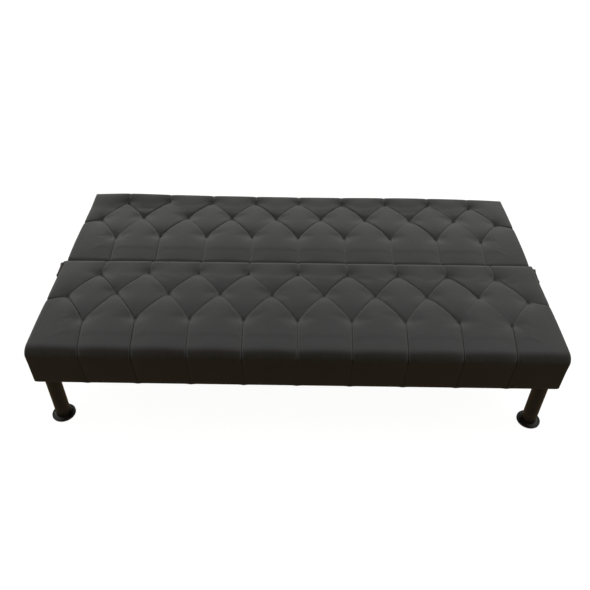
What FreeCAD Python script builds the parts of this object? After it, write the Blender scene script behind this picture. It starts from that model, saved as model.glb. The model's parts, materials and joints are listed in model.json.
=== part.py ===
import FreeCAD, Part
import math
import os

# Click-clack futon sofa bed, lying flat as a bed.  Millimetres.  +X runs along the bed's length,
# +Y from the front edge to the rear edge, +Z up.  The origin is on the floor under the middle of the bed.

# ---- Driving dimensions ---------------------------------------------------------------------------------
# Overall
bed_width = 1676.0
seat_depth = 466.0
back_depth = 450.0
seam_gap = 3.0
bed_height = 340.0
cushion_thickness = 132.0

# Upholstery
cover_thickness = 1.2
cover_clearance = 0.3
hem_width = 26.0
padding_thickness = 6.0
dust_cover_thickness = 0.8
dust_cover_inset = 12.0
side_edge_radius = 10.0
corner_radius = 10.0
front_edge_radius = 28.0
seat_seam_radius = 32.0
back_seam_radius = 44.0
rear_edge_radius = 12.0

# Tufts: three staggered rows on each half, every row centred on the bed's length
tuft_pitch = 176.3
tuft_side_margin = 40.0
tuft_front_margin = 185.0
seat_tuft_rear_margin = 34.0
back_tuft_rear_margin = 18.0
middle_row_share = 0.53
short_row_end_inset = 9.0
short_row_end_drop = 13.0
long_row_end_inset = 16.0
long_row_end_drop = 22.0
tuft_depth = 24.0
tie_radius = 1.2
tie_hole_radius = 3.2
anchor_radius = 9.0
anchor_thickness = 1.5
anchor_clearance = 0.5

# Timber frames
rail_thickness = 24.0
rail_height = 60.0
deck_thickness = 6.0
slat_width = 60.0
slat_height = 42.0
slat_count = 3
block_size = 70.0
frame_screw_heights = (27.0, 46.0)
frame_screw_radius = 2.5
frame_screw_length = 50.0
frame_screw_head_radius = 5.0
frame_screw_head_height = 3.0

# Hinge layers: offsets are measured outwards from the cushion's end face
pivot_below_top = 22.0
arm_first_bolt = 72.0
arm_bolt_pitch = 72.0
arm_bolt_count = 3
arm_bolt_height = 32.0
arm_half_height = 16.0
seat_plate_offset = 3.4
seat_plate_thickness = 3.0
thrust_washer_thickness = 1.0
back_arm_thickness = 5.0
outer_plate_thickness = 2.0
dish_depth = 7.0
dish_margin = 2.0

# Hinge mechanism: angles are seen from the bed's right end, from the rear towards the top
pivot_radius = 6.0
running_clearance = 0.08
pin_clearance = 0.05
pawl_pin_radius = 4.0
sector_radius = 50.0
sector_margin = 9.0
notch_depth = 6.0
notch_floor_width = 6.4
notch_mouth_width = 10.4
tooth_tip_width = 5.0
tooth_root_width = 8.4
tooth_clearance = 1.0
pawl_contact_angle = 262.0
recline_notches = (0.0, 40.0)
upright_angle = 75.0
recline_limit = 80.0
pawl_swing = 9.3
pawl_hub_radius = 7.5
nose_radius = 4.5
nose_clearance = 1.5
hub_radius = 14.0
elbow_angle = 309.0
elbow_reach = 72.5
elbow_radius = 18.0
pivot_boss_radius = 11.0
pawl_boss_radius = 11.0
rivet_boss_radius = 10.0
top_rivet_angle = 184.0
low_rivet_angle = 280.0
top_rivet_clearance = 1.2
low_rivet_clearance = 12.0
pawl_pin_angle = 227.0
pawl_pin_clearance = 10.5
rivet_stem_radius = 3.0
rivet_shoulder_radius = 5.0
rivet_head_radius = 6.0
rivet_head_height = 2.0
pivot_head_radius = 8.5
pivot_head_height = 2.6
spring_width = 3.0
spring_leaf = 0.8
spring_clearance = 0.3
spring_tail = 8.0
washer_width = 5.0

# Hinge bolts
bolt_radius = 4.0
bolt_head_radius = 8.0
bolt_head_height = 4.0
bolt_clearance = 0.2
sleeve_margin = 2.0
tee_nut_flange_radius = 10.0
tee_nut_flange_thickness = 1.5
tee_nut_barrel_radius = 5.6
tee_nut_barrel_length = 12.0

# Legs
leg_radius = 24.0
leg_wall = 2.0
leg_inset_x = 39.0
leg_inset_y = 42.0
leg_plate_margin = 7.0
leg_plate_thickness = 3.0
leg_screw_radius = 2.5
leg_screw_bite = 20.0
leg_screw_head_radius = 5.0
leg_screw_head_height = 2.5
leg_screw_margin = 1.5
foot_radius = 39.0
foot_thickness = 9.0
foot_roll_radius = 3.0
foot_edge_radius = 2.5
foot_rim_width = 2.5
foot_rim_drop = 1.0
foot_groove_depth = 1.2
foot_groove_width = 1.5
foot_shoulder = 1.5
foot_spigot_length = 16.0

# Rear support frame
support_tube = 30.0
support_wall = 2.0
support_drop = 5.0
support_front_inset = 100.0
support_rear_inset = 140.0
support_bolt_inset = 40.0
support_bolt_bite = 40.0
support_spacer_radius = 12.0
rear_leg_inset = 50.0
front_bumper_inset = 112.0
rear_bumper_inset = 45.0
bumper_radius = 12.0
bumper_stem_length = 6.0
bumper_gap = 0.3
cap_flange = 3.0
cap_insert = 12.0
cap_clearance = 0.2
nut_radius = 5.5
nut_height = 5.0
bolt_end = 2.0

# Cutters run this far past the faces they open
past = 1.0

# ---- Derived places -------------------------------------------------------------------------------------
half_width = bed_width / 2
bed_depth = seat_depth + seam_gap + back_depth
front_y = -bed_depth / 2
rear_y = bed_depth / 2
seat_rear_y = front_y + seat_depth
back_front_y = rear_y - back_depth
seam_y = (seat_rear_y + back_front_y) / 2
base_z = bed_height - cushion_thickness
hem_z = base_z + dust_cover_thickness
frame_z = hem_z + cover_thickness
deck_z = frame_z + rail_height
foam_z = deck_z + deck_thickness
foam_top_z = bed_height - cover_thickness - cover_clearance
skin = cover_thickness + cover_clearance
frame_inset = skin + padding_thickness
frame_half_width = half_width - frame_inset
side_rail_x = frame_half_width - rail_thickness / 2
pivot_z = bed_height - pivot_below_top
arm_z = base_z + arm_bolt_height
sector_offset = seat_plate_offset + seat_plate_thickness + thrust_washer_thickness
outer_plate_offset = sector_offset + back_arm_thickness + thrust_washer_thickness
dish_offset = outer_plate_offset + outer_plate_thickness + dish_depth
arm_bolt_offsets = [arm_first_bolt + i * arm_bolt_pitch for i in range(arm_bolt_count)]
leg_screw_pitch_radius = leg_radius + leg_screw_margin + leg_screw_head_radius
leg_plate_radius = leg_screw_pitch_radius + leg_plate_margin
screw_step = leg_screw_pitch_radius / math.sqrt(2)
front_leg_x = half_width - leg_inset_x
front_leg_y = front_y + leg_inset_y
support_top_z = base_z - support_drop
support_bottom_z = support_top_z - support_tube
support_front_y = front_y + support_front_inset
support_rear_y = rear_y - support_rear_inset
support_bolt_ys = [
    support_front_y + support_bolt_inset,
    seam_y - (arm_bolt_offsets[1] + arm_bolt_offsets[2]) / 2,
    seam_y - (arm_bolt_offsets[0] + arm_bolt_offsets[1]) / 2,
]
rear_leg_x = side_rail_x - screw_step
rear_leg_y = support_rear_y - rear_leg_inset
cross_tube_y = rear_leg_y + screw_step
bumper_ys = [seam_y + front_bumper_inset, rear_leg_y - rear_bumper_inset]

RIGHT, LEFT = 1, -1


# ---- Shape helpers --------------------------------------------------------------------------------------
def box(x_range, y_range, z_range):
    """A block between three pairs of coordinates."""
    sizes = [high - low for low, high in (x_range, y_range, z_range)]
    corner = FreeCAD.Vector(x_range[0], y_range[0], z_range[0])
    return Part.makeBox(*sizes, corner)


def post(x, y, z_range, radius):
    """An upright cylinder."""
    return Part.makeCylinder(radius, z_range[1] - z_range[0], FreeCAD.Vector(x, y, z_range[0]))


def outward(side, low, high):
    """The X range between two offsets from the cushion's end face, on one side of the bed."""
    ends = sorted((side * (half_width + low), side * (half_width + high)))
    return tuple(ends)


def pin_x(side, place, low, high, radius):
    """A cylinder along X at (y, z), between two offsets from the cushion's end face."""
    x_low, x_high = outward(side, low, high)
    start = FreeCAD.Vector(x_low, place[0], place[1])
    return Part.makeCylinder(radius, x_high - x_low, start, FreeCAD.Vector(1, 0, 0))


def prism_x(wire_edges, x_range):
    """Extrudes a closed outline, drawn in the plane x = 0, along X."""
    face = Part.Face(Part.Wire(wire_edges))
    face.translate(FreeCAD.Vector(x_range[0], 0, 0))
    return face.extrude(FreeCAD.Vector(x_range[1] - x_range[0], 0, 0))


def at(centre, radius, degrees):
    """The point at an angle round a centre in the YZ plane, counted from +Y towards +Z."""
    turn = math.radians(degrees)
    return FreeCAD.Vector(0, centre[0] + radius * math.cos(turn), centre[1] + radius * math.sin(turn))


def outer_tangent(first, second):
    """The angle of the normal of the tangent that passes two discs (y, z, radius) on their right side."""
    dy, dz = second[0] - first[0], second[1] - first[1]
    heading = math.atan2(dz, dy)
    spread = math.acos((first[2] - second[2]) / math.hypot(dy, dz))
    return math.degrees(heading - spread)


def disc_hull(discs):
    """The edges of the band stretched round discs (y, z, radius) listed counter-clockwise."""
    count = len(discs)
    normals = [outer_tangent(discs[i], discs[(i + 1) % count]) for i in range(count)]
    edges = []
    for i, (y, z, radius) in enumerate(discs):
        start, end = normals[i - 1], normals[i]
        while end <= start:
            end += 360.0
        following = discs[(i + 1) % count]
        points = [at((y, z), radius, angle) for angle in (start, (start + end) / 2, end)]
        edges.append(Part.Arc(*points).toShape())
        landing = at(following[:2], following[2], normals[i])
        edges.append(Part.LineSegment(points[2], landing).toShape())
    return edges


def plate(side, discs, low, high):
    """A flat plate of disc_hull's outline between two offsets from the end face."""
    return prism_x(disc_hull(discs), outward(side, low, high))


def polygon(points):
    """The edges of a closed polygon of vectors."""
    closed = list(points) + [points[0]]
    return [Part.LineSegment(a, b).toShape() for a, b in zip(closed, closed[1:])]


def joined(first, *others):
    """One solid from overlapping or touching solids."""
    return first.fuse(list(others)).removeSplitter().Solids[0]


def on_plane(edge, x):
    """Whether an edge lies in the plane at x."""
    bounds = edge.BoundBox
    return bounds.XLength < 0.01 and abs(bounds.XMin - x) < 0.01


def drilled(shape, cutters):
    """The shape's single solid less the cutters."""
    return shape.cut(cutters).Solids[0] if cutters else shape


def through(low, high):
    """A range that runs past both ends, for a cutter."""
    return low - past, high + past


def rounded_cushion(inset, y_range, z_range, front_radius, back_radius):
    """A cushion block with rounded top edges and upright corners, inset from the outer faces."""
    x_low, x_high = -half_width + inset, half_width - inset
    y_low, y_high = y_range[0] + inset, y_range[1] - inset
    z_low, z_high = z_range[0], z_range[1] - inset
    front, back = front_radius - inset, back_radius - inset
    side, corner = side_edge_radius - inset, corner_radius - inset

    def arch(low, high, left, right, place):
        """An upright outline from low to high whose two top corners have radii left and right."""
        a, b = place(low, z_low), place(low, z_high - left)
        c, d = place(low + left, z_high), place(high - right, z_high)
        e, f = place(high, z_high - right), place(high, z_low)
        bend = 1 - math.sqrt(0.5)
        left_mid = place(low + left * bend, z_high - left * bend)
        right_mid = place(high - right * bend, z_high - right * bend)
        return Part.Wire([
            Part.LineSegment(a, b).toShape(),
            Part.Arc(b, left_mid, c).toShape(),
            Part.LineSegment(c, d).toShape(),
            Part.Arc(d, right_mid, e).toShape(),
            Part.LineSegment(e, f).toShape(),
            Part.LineSegment(f, a).toShape(),
        ])

    lengthways = Part.Face(arch(y_low, y_high, front, back, lambda y, z: FreeCAD.Vector(x_low, y, z)))
    crossways = Part.Face(arch(x_low, x_high, side, side, lambda x, z: FreeCAD.Vector(x, y_low, z)))
    solid = lengthways.extrude(FreeCAD.Vector(x_high - x_low, 0, 0))
    solid = solid.common(crossways.extrude(FreeCAD.Vector(0, y_high - y_low, 0)))
    plan = box((x_low, x_high), (y_low, y_high), (z_low, z_high))
    uprights = [edge for edge in plan.Edges if abs(edge.tangentAt(edge.FirstParameter).z) > 0.9]
    return solid.common(plan.makeFillet(corner, uprights)).Solids[0]


# ---- One upholstered half -------------------------------------------------------------------------------
def tuft_places(y_range, rear_margin):
    """The (x, y) of every tuft of the half that fills y_range; a row's end tufts sit inwards and forwards."""
    most = int((bed_width - 2 * tuft_side_margin) / tuft_pitch) + 1
    first, last = y_range[0] + tuft_front_margin, y_range[1] - rear_margin
    middle = first + (last - first) * middle_row_share
    rows = (
        (first, most - 1, short_row_end_inset, short_row_end_drop),
        (middle, most, long_row_end_inset, long_row_end_drop),
        (last, most - 1, short_row_end_inset, short_row_end_drop),
    )
    places = []
    for y, count, inset, drop in rows:
        end_x = (count - 1) / 2 * tuft_pitch
        places += [(i * tuft_pitch - end_x, y) for i in range(1, count - 1)]
        places += [(-end_x + inset, y - drop), (end_x - inset, y - drop)]
    return places


def frame_screws(y_range):
    """The screws through the long rails into the ends of the side rails, and their clearance holes."""
    screws, holes = [], []
    ends = ((y_range[0] + frame_inset, 1), (y_range[1] - frame_inset, -1))
    for x in (-side_rail_x, side_rail_x):
        for height in frame_screw_heights:
            for start, way in ends:
                base = FreeCAD.Vector(x, start, frame_z + height)
                inwards = FreeCAD.Vector(0, way, 0)

                def bar(length, radius):
                    return Part.makeCylinder(radius, length, base, inwards)

                head = bar(frame_screw_head_height, frame_screw_head_radius)
                screws.append(joined(head, bar(frame_screw_length, frame_screw_radius)))
                holes.append(bar(frame_screw_head_height, frame_screw_head_radius + bolt_clearance))
                holes.append(bar(frame_screw_length + past, frame_screw_radius + bolt_clearance))
    return screws, holes


def arm_bolt_holes(way):
    """The holes for both hinge arms' bolts and tee nuts in one half; way is -1 on the seat, 1 on the back."""
    holes = []
    inner = -(frame_inset + rail_thickness)
    for side in (RIGHT, LEFT):
        for offset in arm_bolt_offsets:
            place = (seam_y + way * offset, arm_z)
            holes.append(pin_x(side, place, *through(inner, 0), bolt_radius + bolt_clearance))
            barrel = through(inner, inner + tee_nut_barrel_length)
            holes.append(pin_x(side, place, *barrel, tee_nut_barrel_radius + bolt_clearance))
    return holes


def timber_frame(name, rail_names, y_range, cutters, block_holes):
    """The rails, the slats between them and, where block_holes are given, the blocks for the legs."""
    outer_low, outer_high = y_range[0] + frame_inset, y_range[1] - frame_inset
    inner_low, inner_high = outer_low + rail_thickness, outer_high - rail_thickness
    inner_half = frame_half_width - rail_thickness
    rail_z = (frame_z, deck_z)
    full = (-frame_half_width, frame_half_width)
    nodes = {
        rail_names[0]: [drilled(box(full, (outer_low, inner_low), rail_z), cutters)],
        rail_names[1]: [drilled(box(full, (inner_high, outer_high), rail_z), cutters)],
    }
    for side, word in ((RIGHT, "right"), (LEFT, "left")):
        xs = sorted((side * inner_half, side * frame_half_width))
        nodes[f"{name}_{word}_rail"] = [drilled(box(xs, (inner_low, inner_high), rail_z), cutters)]
    slats = []
    for i in range(slat_count):
        middle = (i - (slat_count - 1) / 2) * 2 * inner_half / (slat_count + 1)
        xs = (middle - slat_width / 2, middle + slat_width / 2)
        slats.append(box(xs, (inner_low, inner_high), (deck_z - slat_height, deck_z)))
    nodes[f"{name}_cross_slats"] = slats
    if block_holes:
        blocks = []
        for side in (RIGHT, LEFT):
            xs = sorted((side * (inner_half - block_size), side * inner_half))
            block = box(xs, (inner_low, inner_low + block_size), rail_z)
            blocks.append(drilled(block, block_holes))
        nodes[f"{name}_corner_blocks"] = blocks
    nodes[f"{name}_deck_panel"] = [box(full, (outer_low, outer_high), (deck_z, foam_z))]
    return nodes


def tufted_foam(name, y_range, edge_radii, rear_margin):
    """The foam slab, and the ties that pull the cover down into it from anchors on the deck."""
    ties, holes = [], []
    anchor_z = (foam_z, foam_z + anchor_thickness)
    for x, y in tuft_places(y_range, rear_margin):
        tie = post(x, y, (foam_z, bed_height - tuft_depth), tie_radius)
        ties.append(joined(post(x, y, anchor_z, anchor_radius), tie))
        pocket = (anchor_z[0] - past, anchor_z[1] + anchor_clearance)
        holes.append(post(x, y, pocket, anchor_radius + anchor_clearance))
        holes.append(post(x, y, (foam_z - past, bed_height), tie_hole_radius))
    foam = rounded_cushion(skin, y_range, (foam_z, bed_height), *edge_radii)
    return {f"{name}_tuft_ties": ties, f"{name}_foam": [drilled(foam, holes)]}


def edge_padding(y_range, cutters):
    """The four strips of padding between the rails and the cover."""
    straight = corner_radius + cover_thickness
    pad_z = (frame_z, foam_z)
    xs = (-half_width + straight, half_width - straight)
    ys = (y_range[0] + straight, y_range[1] - straight)
    strips = [
        box(xs, (y_range[0] + skin, y_range[0] + frame_inset), pad_z),
        box(xs, (y_range[1] - frame_inset, y_range[1] - skin), pad_z),
        box((-half_width + skin, -frame_half_width), ys, pad_z),
        box((frame_half_width, half_width - skin), ys, pad_z),
    ]
    return [drilled(strip, cutters) for strip in strips]


def cover(y_range, edge_radii, cutters):
    """The sewn cover, closed over the top and sides and turned in as a hem underneath."""
    outside = rounded_cushion(0.0, y_range, (hem_z, bed_height), *edge_radii)
    inside = rounded_cushion(cover_thickness, y_range, (frame_z, bed_height), *edge_radii)
    xs = (-half_width + hem_width, half_width - hem_width)
    ys = (y_range[0] + hem_width, y_range[1] - hem_width)
    return drilled(outside, [inside, box(xs, ys, through(hem_z, frame_z))] + cutters)


def dust_cover(y_range, cutters):
    """The thin sheet that closes the underside."""
    xs = (-half_width + dust_cover_inset, half_width - dust_cover_inset)
    ys = (y_range[0] + dust_cover_inset, y_range[1] - dust_cover_inset)
    return drilled(box(xs, ys, (base_z, hem_z)), cutters)


def upholstered_half(name, way, y_range, edge_radii, rear_margin, rail_names, upright_holes):
    """Every node of the seat (way -1) or of the backrest (way 1)."""
    screws, screw_holes = frame_screws(y_range)
    bolt_holes = arm_bolt_holes(way)
    cutters = screw_holes + bolt_holes + upright_holes
    nodes = timber_frame(name, rail_names, y_range, cutters, upright_holes)
    nodes.update(tufted_foam(name, y_range, edge_radii, rear_margin))
    nodes[f"{name}_edge_padding"] = edge_padding(y_range, bolt_holes)
    nodes[f"{name}_cover"] = [cover(y_range, edge_radii, bolt_holes + upright_holes)]
    nodes[f"{name}_dust_cover"] = [dust_cover(y_range, upright_holes)]
    nodes[f"{name}_frame_screws"] = screws
    return nodes


# ---- Hinges ---------------------------------------------------------------------------------------------
pivot = (seam_y, pivot_z)
top_rivet_reach = sector_radius + top_rivet_clearance + rivet_shoulder_radius
low_rivet_reach = sector_radius + low_rivet_clearance + rivet_shoulder_radius
pawl_pin_reach = sector_radius + pawl_pin_clearance + pawl_pin_radius
nose_reach = sector_radius + nose_clearance + nose_radius


def from_pivot(reach, angle):
    """The (y, z) at a distance and an angle from the pivot."""
    place = at(pivot, reach, angle)
    return place.y, place.z


top_rivet = from_pivot(top_rivet_reach, top_rivet_angle)
low_rivet = from_pivot(low_rivet_reach, low_rivet_angle)
pawl_pin = from_pivot(pawl_pin_reach, pawl_pin_angle)
elbow = from_pivot(elbow_reach, elbow_angle)
head_discs = [
    (*low_rivet, rivet_boss_radius),
    (*pivot, pivot_boss_radius),
    (*top_rivet, rivet_boss_radius),
    (*pawl_pin, pawl_boss_radius),
]
dish_centre = from_pivot(sector_radius - notch_depth, pawl_pin_angle)
dish_discs = [
    (*dish_centre, rivet_boss_radius),
    (*pivot, pivot_boss_radius - dish_margin),
    (*top_rivet, rivet_boss_radius - dish_margin),
]


def mechanism_holes(side, low, high):
    """The holes for the pivot, the pawl's pin and the two spacer rivets, through either fixed plate."""
    holes = [pin_x(side, pivot, low, high, pivot_radius + pin_clearance)]
    holes.append(pin_x(side, pawl_pin, low, high, pawl_pin_radius + pin_clearance))
    for place in (top_rivet, low_rivet):
        holes.append(pin_x(side, place, low, high, rivet_stem_radius + pin_clearance))
    return holes


def arm_holes(side, way, low, high):
    """The bolt holes of one hinge arm; way is -1 on the seat, 1 on the back."""
    return [
        pin_x(side, (seam_y + way * offset, arm_z), *through(low, high), bolt_radius + bolt_clearance)
        for offset in arm_bolt_offsets
    ]


def seat_plate(side):
    """The inner hinge plate, bolted along the seat's end and carrying the head of the mechanism."""
    low, high = seat_plate_offset, seat_plate_offset + seat_plate_thickness
    near = (seam_y - arm_bolt_offsets[0], arm_z, arm_half_height)
    far = (seam_y - arm_bolt_offsets[-1], arm_z, arm_half_height)
    arm = plate(side, [far, near], low, high)
    neck = plate(side, [near, (*pawl_pin, pawl_boss_radius)], low, high)
    body = joined(arm, neck, plate(side, head_discs, low, high))
    return drilled(body, arm_holes(side, -1, low, high) + mechanism_holes(side, *through(low, high)))


def outer_plate(side):
    """The outer hinge plate, pressed into a shallow dish over the pivot and the toothed sector."""
    low, high = outer_plate_offset, outer_plate_offset + outer_plate_thickness
    flange = plate(side, head_discs, low, high)
    dish = plate(side, dish_discs, low, dish_offset)
    face_x = side * (half_width + dish_offset)
    rim = [edge for edge in dish.Edges if on_plane(edge, face_x)]
    dish = dish.makeFillet(outer_plate_thickness, rim)
    inner = [(y, z, radius - outer_plate_thickness) for y, z, radius in dish_discs]
    hollow = plate(side, inner, low - past, dish_offset - outer_plate_thickness)
    return drilled(joined(flange, dish), [hollow] + mechanism_holes(side, *through(low, dish_offset)))


def trapezium(centre_angle, tip, root, tip_width, root_width, spread=0.0):
    """The edges of a tooth or a notch between two radii; spread widens it by that angle."""
    points = []
    for radius, width, way in ((root, root_width, -1), (tip, tip_width, -1),
                               (tip, tip_width, 1), (root, root_width, 1)):
        angle = math.degrees(width / 2 / radius) + spread / 2
        points.append(at(pivot, radius, centre_angle + way * angle))
    return polygon(points)


def notch(angle, spread=0.0):
    """The edges of the sector's notch that meets the pawl when the back is raised by angle."""
    floor, mouth = sector_radius - notch_depth, sector_radius + past
    centre = pawl_contact_angle - angle
    return trapezium(centre, floor, mouth, notch_floor_width, notch_mouth_width, spread)


def back_arm(side):
    """The moving hinge arm, bolted along the backrest's end, with the toothed sector round the pivot."""
    low, high = sector_offset, sector_offset + back_arm_thickness
    x_range = outward(side, low, high)
    first = pawl_contact_angle - recline_limit - sector_margin
    last = pawl_contact_angle + sector_margin
    rim = Part.Arc(*[at(pivot, sector_radius, a) for a in (first, (first + last) / 2, last)]).toShape()
    hub = at(pivot, 0, 0)
    spokes = [
        Part.LineSegment(at(pivot, sector_radius, last), hub).toShape(),
        Part.LineSegment(hub, at(pivot, sector_radius, first)).toShape(),
    ]
    sector = prism_x([rim] + spokes, x_range)
    boss = pin_x(side, pivot, low, high, hub_radius)
    near = (seam_y + arm_bolt_offsets[0], arm_z, arm_half_height)
    far = (seam_y + arm_bolt_offsets[-1], arm_z, arm_half_height)
    neck = plate(side, [(*pivot, hub_radius), (*elbow, elbow_radius)], low, high)
    bend = plate(side, [(*elbow, elbow_radius), near], low, high)
    body = joined(sector, boss, neck, bend, plate(side, [near, far], low, high))
    cutters = [prism_x(notch(angle), x_range) for angle in recline_notches]
    upright_spread = recline_limit - upright_angle
    cutters.append(prism_x(notch(upright_angle + upright_spread / 2, upright_spread), x_range))
    cutters.append(pin_x(side, pivot, *through(low, high), pivot_radius + running_clearance))
    return drilled(body, cutters + arm_holes(side, 1, low, high))


def swung(place):
    """A (y, z) place on the pawl after it has swung out from the sector."""
    turn = math.radians(-pawl_swing)
    dy, dz = place[0] - pawl_pin[0], place[1] - pawl_pin[1]
    y = pawl_pin[0] + dy * math.cos(turn) - dz * math.sin(turn)
    return y, pawl_pin[1] + dy * math.sin(turn) + dz * math.cos(turn)


def pawl(side):
    """The locking pawl, drawn dropped into the sector's flat notch and then swung out to clear it."""
    low, high = sector_offset, sector_offset + back_arm_thickness
    nose = from_pivot(nose_reach, pawl_contact_angle)
    body = plate(side, [(*pawl_pin, pawl_hub_radius), (*nose, nose_radius)], low, high)
    tip = sector_radius - notch_depth + tooth_clearance
    outline = trapezium(pawl_contact_angle, tip, nose_reach, tooth_tip_width, tooth_root_width)
    hole = pin_x(side, pawl_pin, *through(low, high), pawl_pin_radius + running_clearance)
    solid = drilled(joined(body, prism_x(outline, outward(side, low, high))), [hole])
    solid.rotate(FreeCAD.Vector(0, *pawl_pin), FreeCAD.Vector(1, 0, 0), -pawl_swing)
    return solid


def pawl_spring(side):
    """A leaf spring hooked on the low spacer rivet and lying under the pawl's nose."""
    middle = sector_offset + back_arm_thickness / 2
    low, high = middle - spring_width / 2, middle + spring_width / 2
    ring_inner = rivet_shoulder_radius + spring_clearance
    ring_outer = ring_inner + spring_leaf
    nose = swung(from_pivot(nose_reach, pawl_contact_angle))
    under_nose = nose_radius + spring_clearance + spring_leaf / 2
    on_ring = ring_inner + spring_leaf / 2
    normal = outer_tangent((*nose, under_nose), (*low_rivet, on_ring))
    start, end = at(nose, under_nose, normal), at(low_rivet, on_ring, normal)
    tail = start + (start - end).normalize() * spring_tail
    strip = plate(side, [(tail.y, tail.z, spring_leaf / 2), (end.y, end.z, spring_leaf / 2)], low, high)
    ring = pin_x(side, low_rivet, low, high, ring_outer)
    return drilled(joined(strip, ring), [pin_x(side, low_rivet, *through(low, high), ring_inner)])


def stepped_pin(side, place, steps):
    """A turned pin from (low offset, high offset, radius) steps."""
    return joined(*[pin_x(side, place, low, high, radius) for low, high, radius in steps])


def spacer_rivet(side, place, outer_face):
    """A shouldered rivet that holds the two fixed plates apart; outer_face is the offset of its head."""
    inner_face = seat_plate_offset
    shoulder = (inner_face + seat_plate_thickness, outer_face - outer_plate_thickness)
    return stepped_pin(side, place, [
        (inner_face - rivet_head_height, inner_face, rivet_head_radius),
        (inner_face, outer_face, rivet_stem_radius),
        (*shoulder, rivet_shoulder_radius),
        (outer_face, outer_face + rivet_head_height, rivet_head_radius),
    ])


def pawl_rivet(side):
    """The plain rivet on which the pawl swings."""
    inner_face, outer_face = seat_plate_offset, outer_plate_offset + outer_plate_thickness
    return stepped_pin(side, pawl_pin, [
        (inner_face - rivet_head_height, inner_face, rivet_head_radius),
        (inner_face, outer_face, pawl_pin_radius),
        (outer_face, outer_face + rivet_head_height, rivet_head_radius),
    ])


def pivot_rivet(side):
    """The rivet through both fixed plates and the moving arm, on which the backrest turns."""
    return stepped_pin(side, pivot, [
        (seat_plate_offset - pivot_head_height, seat_plate_offset, pivot_head_radius),
        (seat_plate_offset, dish_offset, pivot_radius),
        (dish_offset, dish_offset + pivot_head_height, pivot_head_radius),
    ])


def ring_x(side, place, low, high, outer, inner):
    """A washer or sleeve along X."""
    bore = pin_x(side, place, *through(low, high), inner)
    return drilled(pin_x(side, place, low, high, outer), [bore])


def thrust_washers(side):
    """The two washers that keep the moving arm clear of the fixed plates."""
    inner = pivot_radius + running_clearance
    lows = (sector_offset - thrust_washer_thickness, sector_offset + back_arm_thickness)
    return [
        ring_x(side, pivot, low, low + thrust_washer_thickness, inner + washer_width, inner)
        for low in lows
    ]


def arm_fasteners(side, way, arm_low, arm_thickness):
    """The bolts, tee nuts and spacer sleeves of one hinge arm; way is -1 on the seat, 1 on the back."""
    bolts, nuts, sleeves = [], [], []
    nut_face = -(frame_inset + rail_thickness)
    flange_low = nut_face - tee_nut_flange_thickness
    arm_high = arm_low + arm_thickness
    for offset in arm_bolt_offsets:
        place = (seam_y + way * offset, arm_z)
        bolts.append(stepped_pin(side, place, [
            (nut_face, arm_high, bolt_radius),
            (arm_high, arm_high + bolt_head_height, bolt_head_radius),
        ]))
        nut = stepped_pin(side, place, [
            (flange_low, nut_face, tee_nut_flange_radius),
            (flange_low, nut_face + tee_nut_barrel_length, tee_nut_barrel_radius),
        ])
        nuts.append(drilled(nut, [pin_x(side, place, flange_low - past, 0, bolt_radius + pin_clearance)]))
        sleeve_radius = bolt_head_radius + sleeve_margin
        sleeves.append(ring_x(side, place, 0, arm_low, sleeve_radius, bolt_radius + bolt_clearance))
    return bolts, nuts, sleeves


def hinge_nodes():
    """Every node of the two hinges."""
    grouped = (
        "hinge_pivot_rivets", "hinge_spacer_rivets", "hinge_pawl_rivets", "hinge_pawl_springs",
        "hinge_thrust_washers", "seat_hinge_bolts", "seat_hinge_tee_nuts", "seat_hinge_spacers",
        "back_hinge_bolts", "back_hinge_tee_nuts", "back_hinge_spacers",
    )
    nodes = {name: [] for name in grouped}
    for side, word in ((RIGHT, "right"), (LEFT, "left")):
        nodes[f"{word}_hinge_seat_plate"] = [seat_plate(side)]
        nodes[f"{word}_hinge_outer_plate"] = [outer_plate(side)]
        nodes[f"{word}_hinge_back_arm"] = [back_arm(side)]
        nodes[f"{word}_hinge_pawl"] = [pawl(side)]
        nodes["hinge_pivot_rivets"].append(pivot_rivet(side))
        nodes["hinge_spacer_rivets"].append(spacer_rivet(side, top_rivet, dish_offset))
        flange_face = outer_plate_offset + outer_plate_thickness
        nodes["hinge_spacer_rivets"].append(spacer_rivet(side, low_rivet, flange_face))
        nodes["hinge_pawl_rivets"].append(pawl_rivet(side))
        nodes["hinge_pawl_springs"].append(pawl_spring(side))
        nodes["hinge_thrust_washers"] += thrust_washers(side)
        arms = (
            ("seat", -1, seat_plate_offset, seat_plate_thickness),
            ("back", 1, sector_offset, back_arm_thickness),
        )
        for half, way, low, thickness in arms:
            bolts, nuts, sleeves = arm_fasteners(side, way, low, thickness)
            nodes[f"{half}_hinge_bolts"] += bolts
            nodes[f"{half}_hinge_tee_nuts"] += nuts
            nodes[f"{half}_hinge_spacers"] += sleeves
    return nodes


# ---- Legs -----------------------------------------------------------------------------------------------
def screw_offsets():
    """The four screw places of a leg's top plate, from the leg's centre."""
    return [(a * screw_step, b * screw_step) for a in (-1, 1) for b in (-1, 1)]


def leg(x, y, top_z):
    """A leg tube with its round top plate welded on; top_z is the plate's upper face."""
    plate_z = top_z - leg_plate_thickness
    tube = post(x, y, (foot_thickness, plate_z), leg_radius)
    bore = post(x, y, (foot_thickness - past, plate_z), leg_radius - leg_wall)
    holes = [
        post(x + dx, y + dy, through(plate_z, top_z), leg_screw_radius + bolt_clearance)
        for dx, dy in screw_offsets()
    ]
    return drilled(joined(tube, post(x, y, (plate_z, top_z), leg_plate_radius)), [bore] + holes)


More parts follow.
